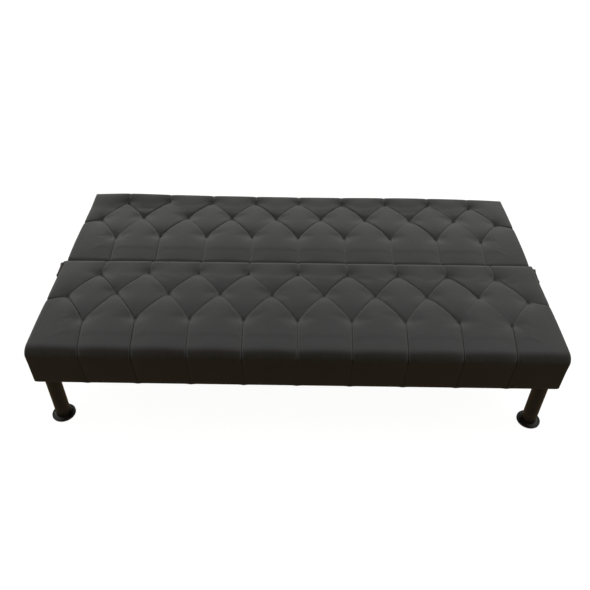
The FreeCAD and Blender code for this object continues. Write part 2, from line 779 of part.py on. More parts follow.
def foot(x, y):
    """A moulded foot: a round flange with a rolled rim, and a spigot that plugs the tube."""
    spigot = leg_radius - leg_wall - cap_clearance
    top = foot_thickness
    rim_z = top - foot_rim_drop
    rim_outer = foot_radius - foot_edge_radius
    rim_inner = rim_outer - foot_rim_width
    bend = math.sqrt(0.5)

    def corner(radius, z):
        return FreeCAD.Vector(x + radius, y, z)

    def quarter(radius, z, reach, up):
        """A quarter round between the flange's edge and a face above (up 1) or below (up -1)."""
        middle = corner(radius + reach * bend, z + up * reach * bend)
        ends = [corner(radius + reach, z), corner(radius, z + up * reach)]
        return Part.Arc(ends[0], middle, ends[1]).toShape()

    lower = quarter(foot_radius - foot_roll_radius, foot_roll_radius, foot_roll_radius, -1)
    upper = quarter(rim_outer, rim_z - foot_edge_radius, foot_edge_radius, 1)
    path = [
        corner(rim_outer, rim_z),
        corner(rim_inner, rim_z),
        corner(rim_inner - foot_groove_width, rim_z - foot_groove_depth),
        corner(leg_radius + foot_shoulder, top),
        corner(spigot, top),
        corner(spigot, top + foot_spigot_length),
        corner(0, top + foot_spigot_length),
        corner(0, 0),
        corner(foot_radius - foot_roll_radius, 0),
    ]
    straight = [Part.LineSegment(a, b).toShape() for a, b in zip(path, path[1:])]
    side_wall = Part.LineSegment(corner(foot_radius, foot_roll_radius),
                                 corner(foot_radius, rim_z - foot_edge_radius)).toShape()
    outline = Part.Wire(Part.__sortEdges__(straight + [lower, side_wall, upper]))
    return Part.Face(outline).revolve(FreeCAD.Vector(x, y, 0), FreeCAD.Vector(0, 0, 1), 360)


def upright_screw(x, y, seat_z, end_z, radius, head_radius, head_height):
    """A screw or bolt driven upwards to end_z, whose head bears on seat_z from below."""
    head = post(x, y, (seat_z - head_height, seat_z), head_radius)
    return joined(head, post(x, y, (seat_z, end_z), radius))


def leg_screw(x, y, seat_z, end_z):
    """One of the screws that hold a leg's top plate."""
    return upright_screw(x, y, seat_z, end_z, leg_screw_radius, leg_screw_head_radius, leg_screw_head_height)


def front_screw_places():
    """The (x, y) of every screw of the two front legs."""
    return [
        (side * front_leg_x + dx, front_leg_y + dy)
        for side in (RIGHT, LEFT)
        for dx, dy in screw_offsets()
    ]


def leg_nodes():
    """The four legs, their feet and the front legs' screws."""
    nodes = {"leg_feet": []}
    for side, word in ((RIGHT, "right"), (LEFT, "left")):
        nodes[f"front_{word}_leg"] = [leg(side * front_leg_x, front_leg_y, base_z)]
        nodes[f"rear_{word}_leg"] = [leg(side * rear_leg_x, rear_leg_y, support_bottom_z)]
        nodes["leg_feet"].append(foot(side * front_leg_x, front_leg_y))
        nodes["leg_feet"].append(foot(side * rear_leg_x, rear_leg_y))
    seat_z, end_z = base_z - leg_plate_thickness, frame_z + leg_screw_bite
    nodes["front_leg_screws"] = [leg_screw(x, y, seat_z, end_z) for x, y in front_screw_places()]
    return nodes


# ---- Rear support frame ---------------------------------------------------------------------------------
def square_tube(x_range, y_range, along_x):
    """A square steel tube under the bed, open at both ends."""
    z_range = (support_bottom_z, support_top_z)
    wall = support_wall
    bore_z = (z_range[0] + wall, z_range[1] - wall)
    if along_x:
        bore = box(through(*x_range), (y_range[0] + wall, y_range[1] - wall), bore_z)
    else:
        bore = box((x_range[0] + wall, x_range[1] - wall), through(*y_range), bore_z)
    return drilled(box(x_range, y_range, z_range), [bore])


def rear_bolt_places(side):
    """The (x, y) of the bolts of one rear leg: two into the rail and one into the cross tube."""
    outer = side * (rear_leg_x + screw_step)
    inner = side * (rear_leg_x - screw_step)
    return [(outer, rear_leg_y - screw_step), (outer, rear_leg_y + screw_step), (inner, cross_tube_y)]


def rear_leg_fastener(x, y):
    """A bolt through a rear leg's plate and the tube's lower wall, and its nut inside the tube."""
    nut_z = support_bottom_z + support_wall
    bolt = leg_screw(x, y, support_bottom_z - leg_plate_thickness, nut_z + nut_height + bolt_end)
    bore = post(x, y, through(nut_z, nut_z + nut_height), leg_screw_radius + pin_clearance)
    return [bolt, drilled(post(x, y, (nut_z, nut_z + nut_height), nut_radius), [bore])]


def rail_spacer(x, y):
    """A thick washer between a support rail and the seat's underside."""
    bore = post(x, y, through(support_top_z, base_z), bolt_radius + bolt_clearance)
    return drilled(post(x, y, (support_top_z, base_z), support_spacer_radius), [bore])


def bumper(x, y):
    """A rubber pad on a rail, with the stem that plugs it into the tube's upper wall."""
    pad = post(x, y, (support_top_z, base_z - bumper_gap), bumper_radius)
    return joined(pad, post(x, y, (support_top_z - bumper_stem_length, support_top_z), bolt_radius))


def end_cap(x, y, way):
    """A plastic plug for a rail's open end, which faces way along Y."""
    half = support_tube / 2
    hollow = half - support_wall - cap_clearance
    middle_z = support_bottom_z + half
    flange_y = sorted((y, y + way * cap_flange))
    insert_y = sorted((y, y - way * cap_insert))
    flange = box((x - half, x + half), flange_y, (support_bottom_z, support_top_z))
    insert = box((x - hollow, x + hollow), insert_y, (middle_z - hollow, middle_z + hollow))
    return joined(flange, insert)


def support_rail(x, leg_bolt_places):
    """One rail under the bed's end, drilled for its bolts, bumpers and the rear leg."""
    xs = (x - support_tube / 2, x + support_tube / 2)
    tube = square_tube(xs, (support_front_y, support_rear_y), False)
    hole = bolt_radius + bolt_clearance
    whole = through(support_bottom_z, support_top_z)
    upper_wall = through(support_top_z - support_wall, support_top_z)
    cutters = [post(x, y, whole, hole) for y in support_bolt_ys]
    cutters += [post(x, y, upper_wall, hole) for y in bumper_ys]
    return drilled(tube, cutters + lower_wall_holes(leg_bolt_places))


def lower_wall_holes(places):
    """Clearance holes for the rear legs' bolts through a tube's lower wall."""
    wall = through(support_bottom_z, support_bottom_z + support_wall)
    return [post(x, y, wall, leg_screw_radius + bolt_clearance) for x, y in places]


def support_nodes():
    """The two rails, the cross tube, and what fastens them and pads them."""
    grouped = (
        "support_rail_bolts", "support_rail_spacers", "support_bumpers", "support_end_caps", "rear_leg_bolts",
    )
    nodes = {name: [] for name in grouped}
    cross_places = []
    for side, word in ((RIGHT, "right"), (LEFT, "left")):
        x = side * side_rail_x
        places = rear_bolt_places(side)
        cross_places.append(places[2])
        nodes[f"{word}_support_rail"] = [support_rail(x, places[:2])]
        for y in support_bolt_ys:
            bolt = upright_screw(x, y, support_bottom_z, frame_z + support_bolt_bite, bolt_radius,
                                 bolt_head_radius, bolt_head_height)
            nodes["support_rail_bolts"].append(bolt)
            nodes["support_rail_spacers"].append(rail_spacer(x, y))
        nodes["support_bumpers"] += [bumper(x, y) for y in bumper_ys]
        nodes["support_end_caps"] += [end_cap(x, support_front_y, -1), end_cap(x, support_rear_y, 1)]
        for place in places:
            nodes["rear_leg_bolts"] += rear_leg_fastener(*place)
    reach = side_rail_x - support_tube / 2
    ys = (cross_tube_y - support_tube / 2, cross_tube_y + support_tube / 2)
    tube = square_tube((-reach, reach), ys, True)
    nodes["support_cross_tube"] = [drilled(tube, lower_wall_holes(cross_places))]
    return nodes


# ---- The whole bed --------------------------------------------------------------------------------------
def seat_upright_holes():
    """Clearance holes for the front legs' screws and the support rails' bolts, through the seat's base."""
    screw_z = (base_z - past, frame_z + leg_screw_bite)
    bolt_z = (base_z - past, frame_z + support_bolt_bite)
    holes = [post(x, y, screw_z, leg_screw_radius + bolt_clearance) for x, y in front_screw_places()]
    for x in (-side_rail_x, side_rail_x):
        holes += [post(x, y, bolt_z, bolt_radius + bolt_clearance) for y in support_bolt_ys]
    return holes


def all_nodes():
    """Every node's name and its solids."""
    nodes = upholstered_half(
        "seat", -1, (front_y, seat_rear_y), (front_edge_radius, seat_seam_radius),
        seat_tuft_rear_margin, ("seat_front_rail", "seat_rear_rail"), seat_upright_holes())
    nodes.update(upholstered_half(
        "back", 1, (back_front_y, rear_y), (back_seam_radius, rear_edge_radius),
        back_tuft_rear_margin, ("back_lower_rail", "back_upper_rail"), []))
    nodes.update(hinge_nodes())
    nodes.update(leg_nodes())
    nodes.update(support_nodes())
    return nodes


def write_parts(nodes):
    """Writes one STEP file for each node, and names any node with a faulty solid."""
    os.makedirs("parts", exist_ok=True)
    for name, solids in sorted(nodes.items()):
        shape = solids[0] if len(solids) == 1 else Part.makeCompound(solids)
        shape.exportStep(f"parts/{name}.step")
        sound = all(solid.isValid() and solid.Volume > 0 for solid in solids)
        print(f"{name}: {len(solids)} solids{'' if sound else ', FAULTY'}")


write_parts(all_nodes())
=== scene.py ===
import json
import math

import bmesh
import bpy
import numpy as np
from mathutils import Matrix, Vector


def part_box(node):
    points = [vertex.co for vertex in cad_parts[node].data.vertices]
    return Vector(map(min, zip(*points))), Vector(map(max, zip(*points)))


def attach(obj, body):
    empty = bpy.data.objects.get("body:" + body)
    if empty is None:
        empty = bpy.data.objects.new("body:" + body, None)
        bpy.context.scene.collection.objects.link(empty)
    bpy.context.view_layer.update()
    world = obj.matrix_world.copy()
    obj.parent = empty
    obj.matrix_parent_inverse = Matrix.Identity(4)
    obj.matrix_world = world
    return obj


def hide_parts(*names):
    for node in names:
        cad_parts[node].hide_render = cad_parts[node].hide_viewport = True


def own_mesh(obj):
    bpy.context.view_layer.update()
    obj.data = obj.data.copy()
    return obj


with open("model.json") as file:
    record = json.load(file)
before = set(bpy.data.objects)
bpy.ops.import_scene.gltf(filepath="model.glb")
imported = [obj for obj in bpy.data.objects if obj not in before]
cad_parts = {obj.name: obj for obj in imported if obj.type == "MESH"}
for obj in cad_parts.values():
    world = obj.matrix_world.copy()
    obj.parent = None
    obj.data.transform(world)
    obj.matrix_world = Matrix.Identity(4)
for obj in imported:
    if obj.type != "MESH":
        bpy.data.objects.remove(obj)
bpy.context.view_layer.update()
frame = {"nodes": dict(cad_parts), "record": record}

MM = 0.001
WALL_FOOT = (1.00, 1.00, 0.97, 1)
WALL_LOW = (1.32, 1.32, 1.28, 1)
WALL_HIGH = (0.39, 0.405, 0.42, 1)
WALL_RIGHT = (0.66, 0.66, 0.65, 1)
ROOM = (0.170, 0.130, 0.085, 1)
SIDE_LIGHT = (0.62, 0.62, 0.60, 1)
GROUND = (0.185, 0.138, 0.080, 1)
FRONT_SPREAD = (0.16, 0.36)
rng = np.random.default_rng(7)


# ---- Camera, light and floor ----------------------------------------------------------------------------
def make_camera():
    """The camera, placed in front of the bed and looking down on it."""
    place = Vector((-0.0079, -1.8206, 1.7234))
    yaw, pitch, roll = (math.radians(a) for a in (-0.058, 39.972, -0.783))
    forward = Vector((math.sin(yaw) * math.cos(pitch), math.cos(yaw) * math.cos(pitch), -math.sin(pitch)))
    right = Vector((math.cos(yaw), -math.sin(yaw), 0))
    down = forward.cross(right)
    turned_right = math.cos(roll) * right + math.sin(roll) * down
    turned_down = math.cos(roll) * down - math.sin(roll) * right
    data = bpy.data.cameras.new("camera")
    data.lens = 38.606
    data.sensor_width = 36
    camera = bpy.data.objects.new("camera", data)
    bpy.context.scene.collection.objects.link(camera)
    axes = Matrix((turned_right, -turned_down, -forward)).transposed()
    camera.matrix_world = Matrix.Translation(place) @ axes.to_4x4()
    bpy.context.scene.camera = camera


def area_light(name, place, aim, size, power, colour):
    """A soft rectangular lamp."""
    data = bpy.data.lights.new(name, "AREA")
    data.shape = "RECTANGLE"
    data.size, data.size_y = size
    data.energy = power
    data.color = colour
    lamp = bpy.data.objects.new(name, data)
    bpy.context.scene.collection.objects.link(lamp)
    lamp.location = place
    lamp.rotation_mode = "QUATERNION"
    lamp.rotation_quaternion = (Vector(aim) - Vector(place)).to_track_quat("-Z", "Y")
    return lamp


def make_world():
    """A pale wall behind and above the bed, a dim room in front of it and a dark brown ground."""
    world = bpy.data.worlds.new("studio")
    bpy.context.scene.world = world
    world.use_nodes = True
    tree = world.node_tree
    tree.nodes.clear()

    def add(kind, *inputs, **settings):
        node = tree.nodes.new(kind)
        for key, value in settings.items():
            setattr(node, key, value)
        for socket, value in inputs:
            if isinstance(value, bpy.types.NodeSocket):
                tree.links.new(value, node.inputs[socket])
            else:
                node.inputs[socket].default_value = value
        return node

    def step(value, low, high):
        node = add("ShaderNodeMapRange", ("Value", value), ("From Min", low), ("From Max", high),
                   interpolation_type="SMOOTHSTEP")
        return node.outputs[0]

    def fade(value, low, high):
        return add("ShaderNodeMapRange", ("Value", value), ("From Min", low), ("From Max", high)).outputs[0]

    def mix(share, first, second):
        return add("ShaderNodeMix", (0, share), (6, first), (7, second), data_type="RGBA").outputs[2]

    direction = add("ShaderNodeTexCoord").outputs["Generated"]
    split = add("ShaderNodeSeparateXYZ", (0, direction))
    x, y, z = split.outputs
    wall = mix(fade(z, 0.25, 0.46), WALL_FOOT, WALL_LOW)
    wall = mix(fade(z, 0.50, 0.73), wall, WALL_HIGH)
    wall = mix(step(x, 0.0, 1.2), wall, WALL_RIGHT)
    aside = add("ShaderNodeMath", (0, x), operation="ABSOLUTE").outputs[0]
    front = mix(step(aside, 0.44, 0.66), ROOM, SIDE_LIGHT)
    room = mix(step(y, *FRONT_SPREAD), front, wall)
    sky = mix(step(z, -0.03, 0.05), GROUND, room)
    background = add("ShaderNodeBackground", ("Color", sky), ("Strength", 1.0))
    add("ShaderNodeOutputWorld", (0, background.outputs[0]))


def make_floor():
    """A plain pale floor."""
    mesh = bpy.data.meshes.new("floor")
    reach = 40.0
    mesh.from_pydata([(-reach, -reach, 0), (reach, -reach, 0), (reach, reach, 0), (-reach, reach, 0)], [], [(0, 1, 2, 3)])
    floor = bpy.data.objects.new("floor", mesh)
    bpy.context.scene.collection.objects.link(floor)
    material = bpy.data.materials.new("pale_floor")
    material.use_nodes = True
    tree = material.node_tree
    tree.nodes.clear()
    diffuse = tree.nodes.new("ShaderNodeBsdfDiffuse")
    diffuse.inputs["Color"].default_value = (0.22, 0.22, 0.22, 1)
    glow = tree.nodes.new("ShaderNodeEmission")
    glow.inputs["Color"].default_value = (1, 1, 1, 1)
    glow.inputs["Strength"].default_value = 0.95
    both = tree.nodes.new("ShaderNodeAddShader")
    out = tree.nodes.new("ShaderNodeOutputMaterial")
    tree.links.new(diffuse.outputs[0], both.inputs[0])
    tree.links.new(glow.outputs[0], both.inputs[1])
    tree.links.new(both.outputs[0], out.inputs[0])
    mesh.materials.append(material)
    floor.visible_diffuse = False
    floor.visible_glossy = False


def make_backdrop():
    """A plain white dome far behind the bed, which only the camera sees."""
    mesh = bpy.data.meshes.new("backdrop")
    work = bmesh.new()
    bmesh.ops.create_uvsphere(work, u_segments=48, v_segments=24, radius=45.0)
    work.to_mesh(mesh)
    work.free()
    backdrop = bpy.data.objects.new("backdrop", mesh)
    bpy.context.scene.collection.objects.link(backdrop)
    material = bpy.data.materials.new("white_backdrop")
    material.use_nodes = True
    tree = material.node_tree
    tree.nodes.clear()
    glow = tree.nodes.new("ShaderNodeEmission")
    glow.inputs["Color"].default_value = (1, 1, 1, 1)
    out = tree.nodes.new("ShaderNodeOutputMaterial")
    tree.links.new(glow.outputs[0], out.inputs[0])
    mesh.materials.append(material)
    for ray in ("diffuse", "glossy", "transmission", "volume_scatter", "shadow"):
        setattr(backdrop, "visible_" + ray, False)


# ---- Materials ------------------------------------------------------------------------------------------
class Shader:
    """A node material under construction, in the object's own coordinates."""

    def __init__(self, name, **sockets):
        self.material = bpy.data.materials.new(name)
        self.material.use_nodes = True
        self.tree = self.material.node_tree
        self.tree.nodes.clear()
        self.surface = self.add("ShaderNodeBsdfPrincipled")
        out = self.add("ShaderNodeOutputMaterial")
        self.link(self.surface.outputs[0], out.inputs["Surface"])
        self.coords = self.add("ShaderNodeTexCoord").outputs["Object"]
        for key, value in sockets.items():
            self.surface.inputs[key.replace("_", " ")].default_value = value

    def add(self, kind, **settings):
        node = self.tree.nodes.new(kind)
        for key, value in settings.items():
            setattr(node, key, value)
        return node

    def link(self, source, target):
        self.tree.links.new(source, target)

    def stretched(self, scale):
        """The coordinates, scaled by a different amount along each axis."""
        node = self.add("ShaderNodeMapping")
        self.link(self.coords, node.inputs["Vector"])
        node.inputs["Scale"].default_value = scale
        return node.outputs[0]

    def noise(self, scale, detail=3.0, rough=0.5, coords=None):
        node = self.add("ShaderNodeTexNoise")
        self.link(coords or self.coords, node.inputs["Vector"])
        node.inputs["Scale"].default_value = scale
        node.inputs["Detail"].default_value = detail
        node.inputs["Roughness"].default_value = rough
        return node.outputs["Fac"]

    def cells(self, scale, feature="F1", coords=None):
        node = self.add("ShaderNodeTexVoronoi", feature=feature)
        self.link(coords or self.coords, node.inputs["Vector"])
        node.inputs["Scale"].default_value = scale
        return node.outputs["Distance"]

    def attribute(self, name):
        return self.add("ShaderNodeAttribute", attribute_name=name).outputs["Fac"]

    def math(self, operation, first, second=0.0, third=0.0):
        node = self.add("ShaderNodeMath", operation=operation)
        for socket, value in zip(node.inputs, (first, second, third)):
            if isinstance(value, (int, float)):
                socket.default_value = value
            else:
                self.link(value, socket)
        return node.outputs[0]

    def spread(self, value, low, high, new_low, new_high):
        """Maps a value from one range to another, clamped."""
        node = self.add("ShaderNodeMapRange")
        self.link(value, node.inputs["Value"])
        for socket, number in zip(list(node.inputs)[1:5], (low, high, new_low, new_high)):
            socket.default_value = number
        return node.outputs[0]

    def ramp(self, value, stops):
        node = self.add("ShaderNodeValToRGB")
        self.link(value, node.inputs[0])
        elements = node.color_ramp.elements
        while len(elements) < len(stops):
            elements.new(0.5)
        for element, (position, colour) in zip(elements, stops):
            element.position = position
            element.color = (*colour, 1)
        return node.outputs["Color"]

    def blend(self, share, first, second, mode="MIX"):
        """Mixes two colours; each is a socket or three numbers."""
        node = self.add("ShaderNodeMix", data_type="RGBA", blend_type=mode)
        for socket, value in zip((node.inputs[0], node.inputs[6], node.inputs[7]), (share, first, second)):
            if isinstance(value, tuple):
                socket.default_value = (*value, 1)
            elif isinstance(value, (int, float)):
                socket.default_value = value
            else:
                self.link(value, socket)
        return node.outputs[2]

    def bump(self, height, distance, strength=1.0, below=None):
        node = self.add("ShaderNodeBump")
        self.link(height, node.inputs["Height"])
        node.inputs["Distance"].default_value = distance
        node.inputs["Strength"].default_value = strength
        if below:
            self.link(below, node.inputs["Normal"])
        return node.outputs[0]

    def finish(self, colour=None, roughness=None, normal=None):
        for name, source in (("Base Color", colour), ("Roughness", roughness), ("Normal", normal)):
            if source:
                self.link(source, self.surface.inputs[name])
        return self.material


def leather():
    """Smooth charcoal faux leather: fine grain, worn and paler along edges, and darkened in the pleats and tufts as
    painted shade.
    """
    s = Shader("faux_leather", **{"Specular IOR Level": 0.5, "Sheen Weight": 0.0})
    crease_shade, edge = s.attribute("crease_shade"), s.attribute("edge")
    grain = s.cells(1100.0)
    pores = s.noise(2600.0, 2.0)
    rumple = s.noise(210.0, 4.0, 0.55)
    patch = s.noise(9.0, 3.0, 0.5)
    scuff = s.noise(60.0, 6.0, 0.7, s.stretched((1.0, 0.35, 1.0)))
    base = s.ramp(patch, [(0.30, (0.0135, 0.0133, 0.0128)), (0.70, (0.0175, 0.0173, 0.0168))])
    worn = s.math("MULTIPLY", edge, s.spread(scuff, 0.42, 0.75, 0.0, 0.55))
    base = s.blend(worn, base, (0.034, 0.033, 0.031))
    # Painted shade: the colour is darkened along the pleats and in the tufts.
    painted_crease_shade = s.spread(crease_shade, 0.35, 1.0, 0.0, 0.75)
    base = s.blend(painted_crease_shade, base, (0.006, 0.0055, 0.005))
    rough = s.spread(rumple, 0.3, 0.7, 0.35, 0.44)
    rough = s.math("ADD", rough, s.math("MULTIPLY", crease_shade, 0.14))
    rough = s.math("SUBTRACT", rough, s.math("MULTIPLY", worn, 0.05))
    normal = s.bump(rumple, 0.0004, 0.35)
    normal = s.bump(grain, 0.00018, 0.45, normal)
    normal = s.bump(pores, 0.00006, 0.4, normal)
    return s.finish(base, rough, normal)


def dust_fabric():
    """Black non-woven polypropylene with a grid of heat-bonded points."""
    s = Shader("dust_fabric", **{"Specular IOR Level": 0.25, "Sheen Weight": 0.15})
    fibres = s.noise(900.0, 5.0, 0.7, s.stretched((1.0, 0.25, 1.0)))
    split = s.add("ShaderNodeSeparateXYZ")
    s.link(s.coords, split.inputs[0])
    waves = [s.math("SINE", s.math("MULTIPLY", split.outputs[axis], 2 * math.pi / 0.0025)) for axis in ("X", "Y")]
    points = s.spread(s.math("MULTIPLY", *waves), 0.35, 0.8, 0.0, 1.0)
    cloud = s.noise(14.0, 3.0)
    base = s.ramp(fibres, [(0.3, (0.010, 0.010, 0.011)), (0.75, (0.024, 0.024, 0.026))])
    base = s.blend(s.spread(cloud, 0.3, 0.7, 0.0, 0.3), base, (0.032, 0.032, 0.034))
    base = s.blend(s.math("MULTIPLY", points, 0.5), base, (0.006, 0.006, 0.007))
    rough = s.spread(fibres, 0.3, 0.7, 0.75, 0.95)
    normal = s.bump(fibres, 0.0002, 0.5)
    normal = s.bump(s.math("SUBTRACT", 1.0, points), 0.0002, 0.5, normal)
    return s.finish(base, rough, normal)


def foam():
    """Pale open-cell upholstery foam, darkened in its pores as painted shade."""
    s = Shader("foam", **{"Specular IOR Level": 0.2})
    pores = s.cells(700.0)
    cloud = s.noise(12.0, 4.0)
    base = s.ramp(cloud, [(0.3, (0.62, 0.55, 0.36)), (0.7, (0.72, 0.66, 0.48))])
    # Painted shade: the pores are darkened.
    base = s.blend(s.spread(pores, 0.0, 0.35, 0.6, 0.0), base, (0.40, 0.33, 0.20))
    return s.finish(base, s.spread(pores, 0.0, 0.5, 0.95, 0.8), s.bump(pores, 0.0005, 0.7))


def timber():
    """Rough-sawn pale softwood."""
    s = Shader("timber", **{"Specular IOR Level": 0.3})
    along = s.stretched((1.2, 14.0, 14.0))
    figure = s.noise(3.2, 5.0, 0.6, along)
    rings = s.math("SINE", s.math("MULTIPLY", figure, 46.0))
    fibres = s.noise(70.0, 4.0, 0.65, along)
    base = s.ramp(s.spread(rings, -1.0, 1.0, 0.0, 1.0), [(0.1, (0.56, 0.38, 0.21)), (0.9, (0.70, 0.52, 0.32))])
    base = s.blend(s.spread(fibres, 0.35, 0.7, 0.0, 0.5), base, (0.42, 0.27, 0.14))
    rough = s.spread(fibres, 0.3, 0.7, 0.6, 0.85)
    return s.finish(base, rough, s.bump(fibres, 0.0004, 0.5))


def deck_board():
    """Brown hardboard: smooth, with short fibres in it."""
    s = Shader("deck_board", **{"Specular IOR Level": 0.35})
    fibres = s.noise(420.0, 6.0, 0.75)
    cloud = s.noise(7.0, 3.0)
    base = s.ramp(fibres, [(0.3, (0.16, 0.085, 0.038)), (0.7, (0.27, 0.15, 0.075))])
    base = s.blend(s.spread(cloud, 0.3, 0.7, 0.0, 0.35), base, (0.13, 0.07, 0.032))
    return s.finish(base, s.spread(fibres, 0.3, 0.7, 0.5, 0.7), s.bump(fibres, 0.0001, 0.5))


def tuft_cord():
    """Waxed black twine."""
    s = Shader("tuft_cord", **{"Specular IOR Level": 0.4})
    ply = s.noise(500.0, 3.0, 0.6, s.stretched((1.0, 1.0, 0.3)))
    base = s.ramp(ply, [(0.3, (0.010, 0.010, 0.010)), (0.7, (0.035, 0.034, 0.032))])
    return s.finish(base, s.spread(ply, 0.3, 0.7, 0.45, 0.75), s.bump(ply, 0.0004, 0.6))


def painted_steel(name, dark, pale, rough_low, rough_high):
    """Painted steel with a faint orange peel, handling marks, and paint rubbed thin on its edges."""
    s = Shader(name, **{"Specular IOR Level": 0.5})
    peel = s.noise(520.0, 2.0)
    cloud = s.noise(16.0, 4.0, 0.55)
    marks = s.noise(90.0, 6.0, 0.75, s.stretched((1.0, 1.0, 0.25)))
    soft = s.add("ShaderNodeBevel", samples=4)
    soft.inputs["Radius"].default_value = 0.0012
    flat = s.add("ShaderNodeNewGeometry")
    facing = s.add("ShaderNodeVectorMath", operation="DOT_PRODUCT")
    s.link(soft.outputs[0], facing.inputs[0])
    s.link(flat.outputs["Normal"], facing.inputs[1])
    rim = s.spread(facing.outputs["Value"], 0.80, 0.99, 1.0, 0.0)
    worn = s.math("MULTIPLY", rim, s.spread(marks, 0.45, 0.62, 0.0, 0.8))
    base = s.ramp(cloud, [(0.3, dark), (0.7, pale)])
    base = s.blend(worn, base, (0.060, 0.055, 0.050))
    rough = s.math("ADD", s.spread(cloud, 0.3, 0.7, rough_low, rough_high), s.math("MULTIPLY", s.spread(marks, 0.5, 0.8, 0.0, 1.0), 0.08))
    return s.finish(base, rough, s.bump(peel, 0.0001, 0.35))


def plated_steel():
    """Zinc-plated steel: dull, slightly blue, with a fine brushed lay."""
    s = Shader("plated_steel", **{"Metallic": 1.0})
    lay = s.noise(800.0, 3.0, 0.6, s.stretched((0.2, 1.0, 1.0)))
    cloud = s.noise(60.0, 4.0)
    base = s.ramp(cloud, [(0.3, (0.42, 0.43, 0.44)), (0.7, (0.60, 0.61, 0.61))])
    return s.finish(base, s.spread(lay, 0.3, 0.7, 0.28, 0.46), s.bump(lay, 0.00005, 0.4))


def black_hardware():
    """Blackened screws and bolts, rubbed bright on the high spots."""
    s = Shader("black_hardware", **{"Metallic": 0.6})
    cloud = s.noise(240.0, 4.0)
    marks = s.noise(700.0, 4.0, 0.7)
    base = s.ramp(cloud, [(0.3, (0.018, 0.018, 0.019)), (0.7, (0.040, 0.039, 0.038))])
    base = s.blend(s.spread(marks, 0.62, 0.72, 0.0, 0.5), base, (0.15, 0.14, 0.13))
    return s.finish(base, s.spread(cloud, 0.3, 0.7, 0.32, 0.5), s.bump(marks, 0.00008, 0.4))


def black_plastic():
    """Moulded black plastic with a fine spark-eroded texture."""
    s = Shader("black_plastic", **{"Specular IOR Level": 0.5})
    texture = s.noise(1500.0, 2.0)
    cloud = s.noise(35.0, 4.0)
    scuff = s.noise(120.0, 6.0, 0.75)
    base = s.ramp(cloud, [(0.3, (0.010, 0.010, 0.010)), (0.7, (0.015, 0.015, 0.0148))])
    base = s.blend(s.spread(scuff, 0.58, 0.75, 0.0, 0.35), base, (0.045, 0.044, 0.042))
    return s.finish(base, s.spread(texture, 0.3, 0.7, 0.34, 0.48), s.bump(texture, 0.00008, 0.5))


def black_rubber():
    """Matt black rubber, a little dusty."""
    s = Shader("black_rubber", **{"Specular IOR Level": 0.3})
    dust = s.noise(80.0, 5.0, 0.7)
    texture = s.noise(1200.0, 3.0)
    base = s.ramp(dust, [(0.35, (0.012, 0.012, 0.012)), (0.75, (0.035, 0.034, 0.032))])
    return s.finish(base, s.spread(dust, 0.3, 0.7, 0.7, 0.9), s.bump(texture, 0.0002, 0.5))


def make_materials():
    """One material for each of the record's slots."""
    return {
        "faux_leather": leather(),
        "dust_fabric": dust_fabric(),
        "foam": foam(),
        "timber": timber(),
        "deck_board": deck_board(),
        "tuft_cord": tuft_cord(),
        "black_steel": painted_steel("black_steel", (0.0095, 0.0075, 0.0060), (0.014, 0.011, 0.009), 0.30, 0.40),
        "hinge_steel": painted_steel("hinge_steel", (0.011, 0.011, 0.011), (0.017, 0.017, 0.017), 0.36, 0.5),
        "plated_steel": plated_steel(),
        "black_hardware": black_hardware(),
        "black_plastic": black_plastic(),
        "black_rubber": black_rubber(),
    }


def node_slots():
    """Which material slot each CAD node takes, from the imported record."""
    return {part["node"]: part["material_slot"] for part in frame["record"]["subparts"]}


def dress_nodes(materials):
    """Gives every CAD node its slot's material."""
    slots = node_slots()
    for name, node in frame["nodes"].items():
        node.data.materials.clear()
        node.data.materials.append(materials[slots[name]])


# ---- Upholstery -----------------------------------------------------------------------------------------
# Lattice: columns -10 to 10 at half the tuft pitch, with the side edges at both ends; rows 0 to 4 are the
# front edge, the three rows of tufts and the rear edge. Lengths are in millimetres until the mesh is made.
CELLS = 14
SURFACE_STEP = 8.0
WALL_ROWS = 8
SIDE_RADIUS = 6.0
CORNER_RADIUS = 6.0
TUFT_DROP = 12.5
PLEAT_DROP = 2.5
PLEAT_RUN = 16.0
SLIT_DEPTH = 4.2
HARD = 60.0
SETTLE = 0.25


def smoothstep(x):
    x = np.clip(x, 0.0, 1.0)
    return x * x * (3 - 2 * x)


def tuft_rows(node):
    """Three rows of tuft centres, front row first, from the tops of a CAD node's ties."""
    mesh = frame["nodes"][node].data
    co = np.zeros(len(mesh.vertices) * 3)
    mesh.vertices.foreach_get("co", co)
    co = co.reshape(-1, 3) / MM
    tops = co[co[:, 2] > co[:, 2].max() - 0.5][:, :2]
    centres = []
    while len(tops):
        near = np.hypot(*(tops - tops[0]).T) < 10
        centres.append(tops[near].mean(0))
        tops = tops[~near]
    centres = sorted(centres, key=lambda c: c[1])
    rows, row = [], [centres[0]]
    for c in centres[1:]:
        if c[1] - row[-1][1] > 60:
            rows.append(row)
            row = []
        row.append(c)
    rows.append(row)
    return [sorted(r, key=lambda c: c[0]) for r in rows]


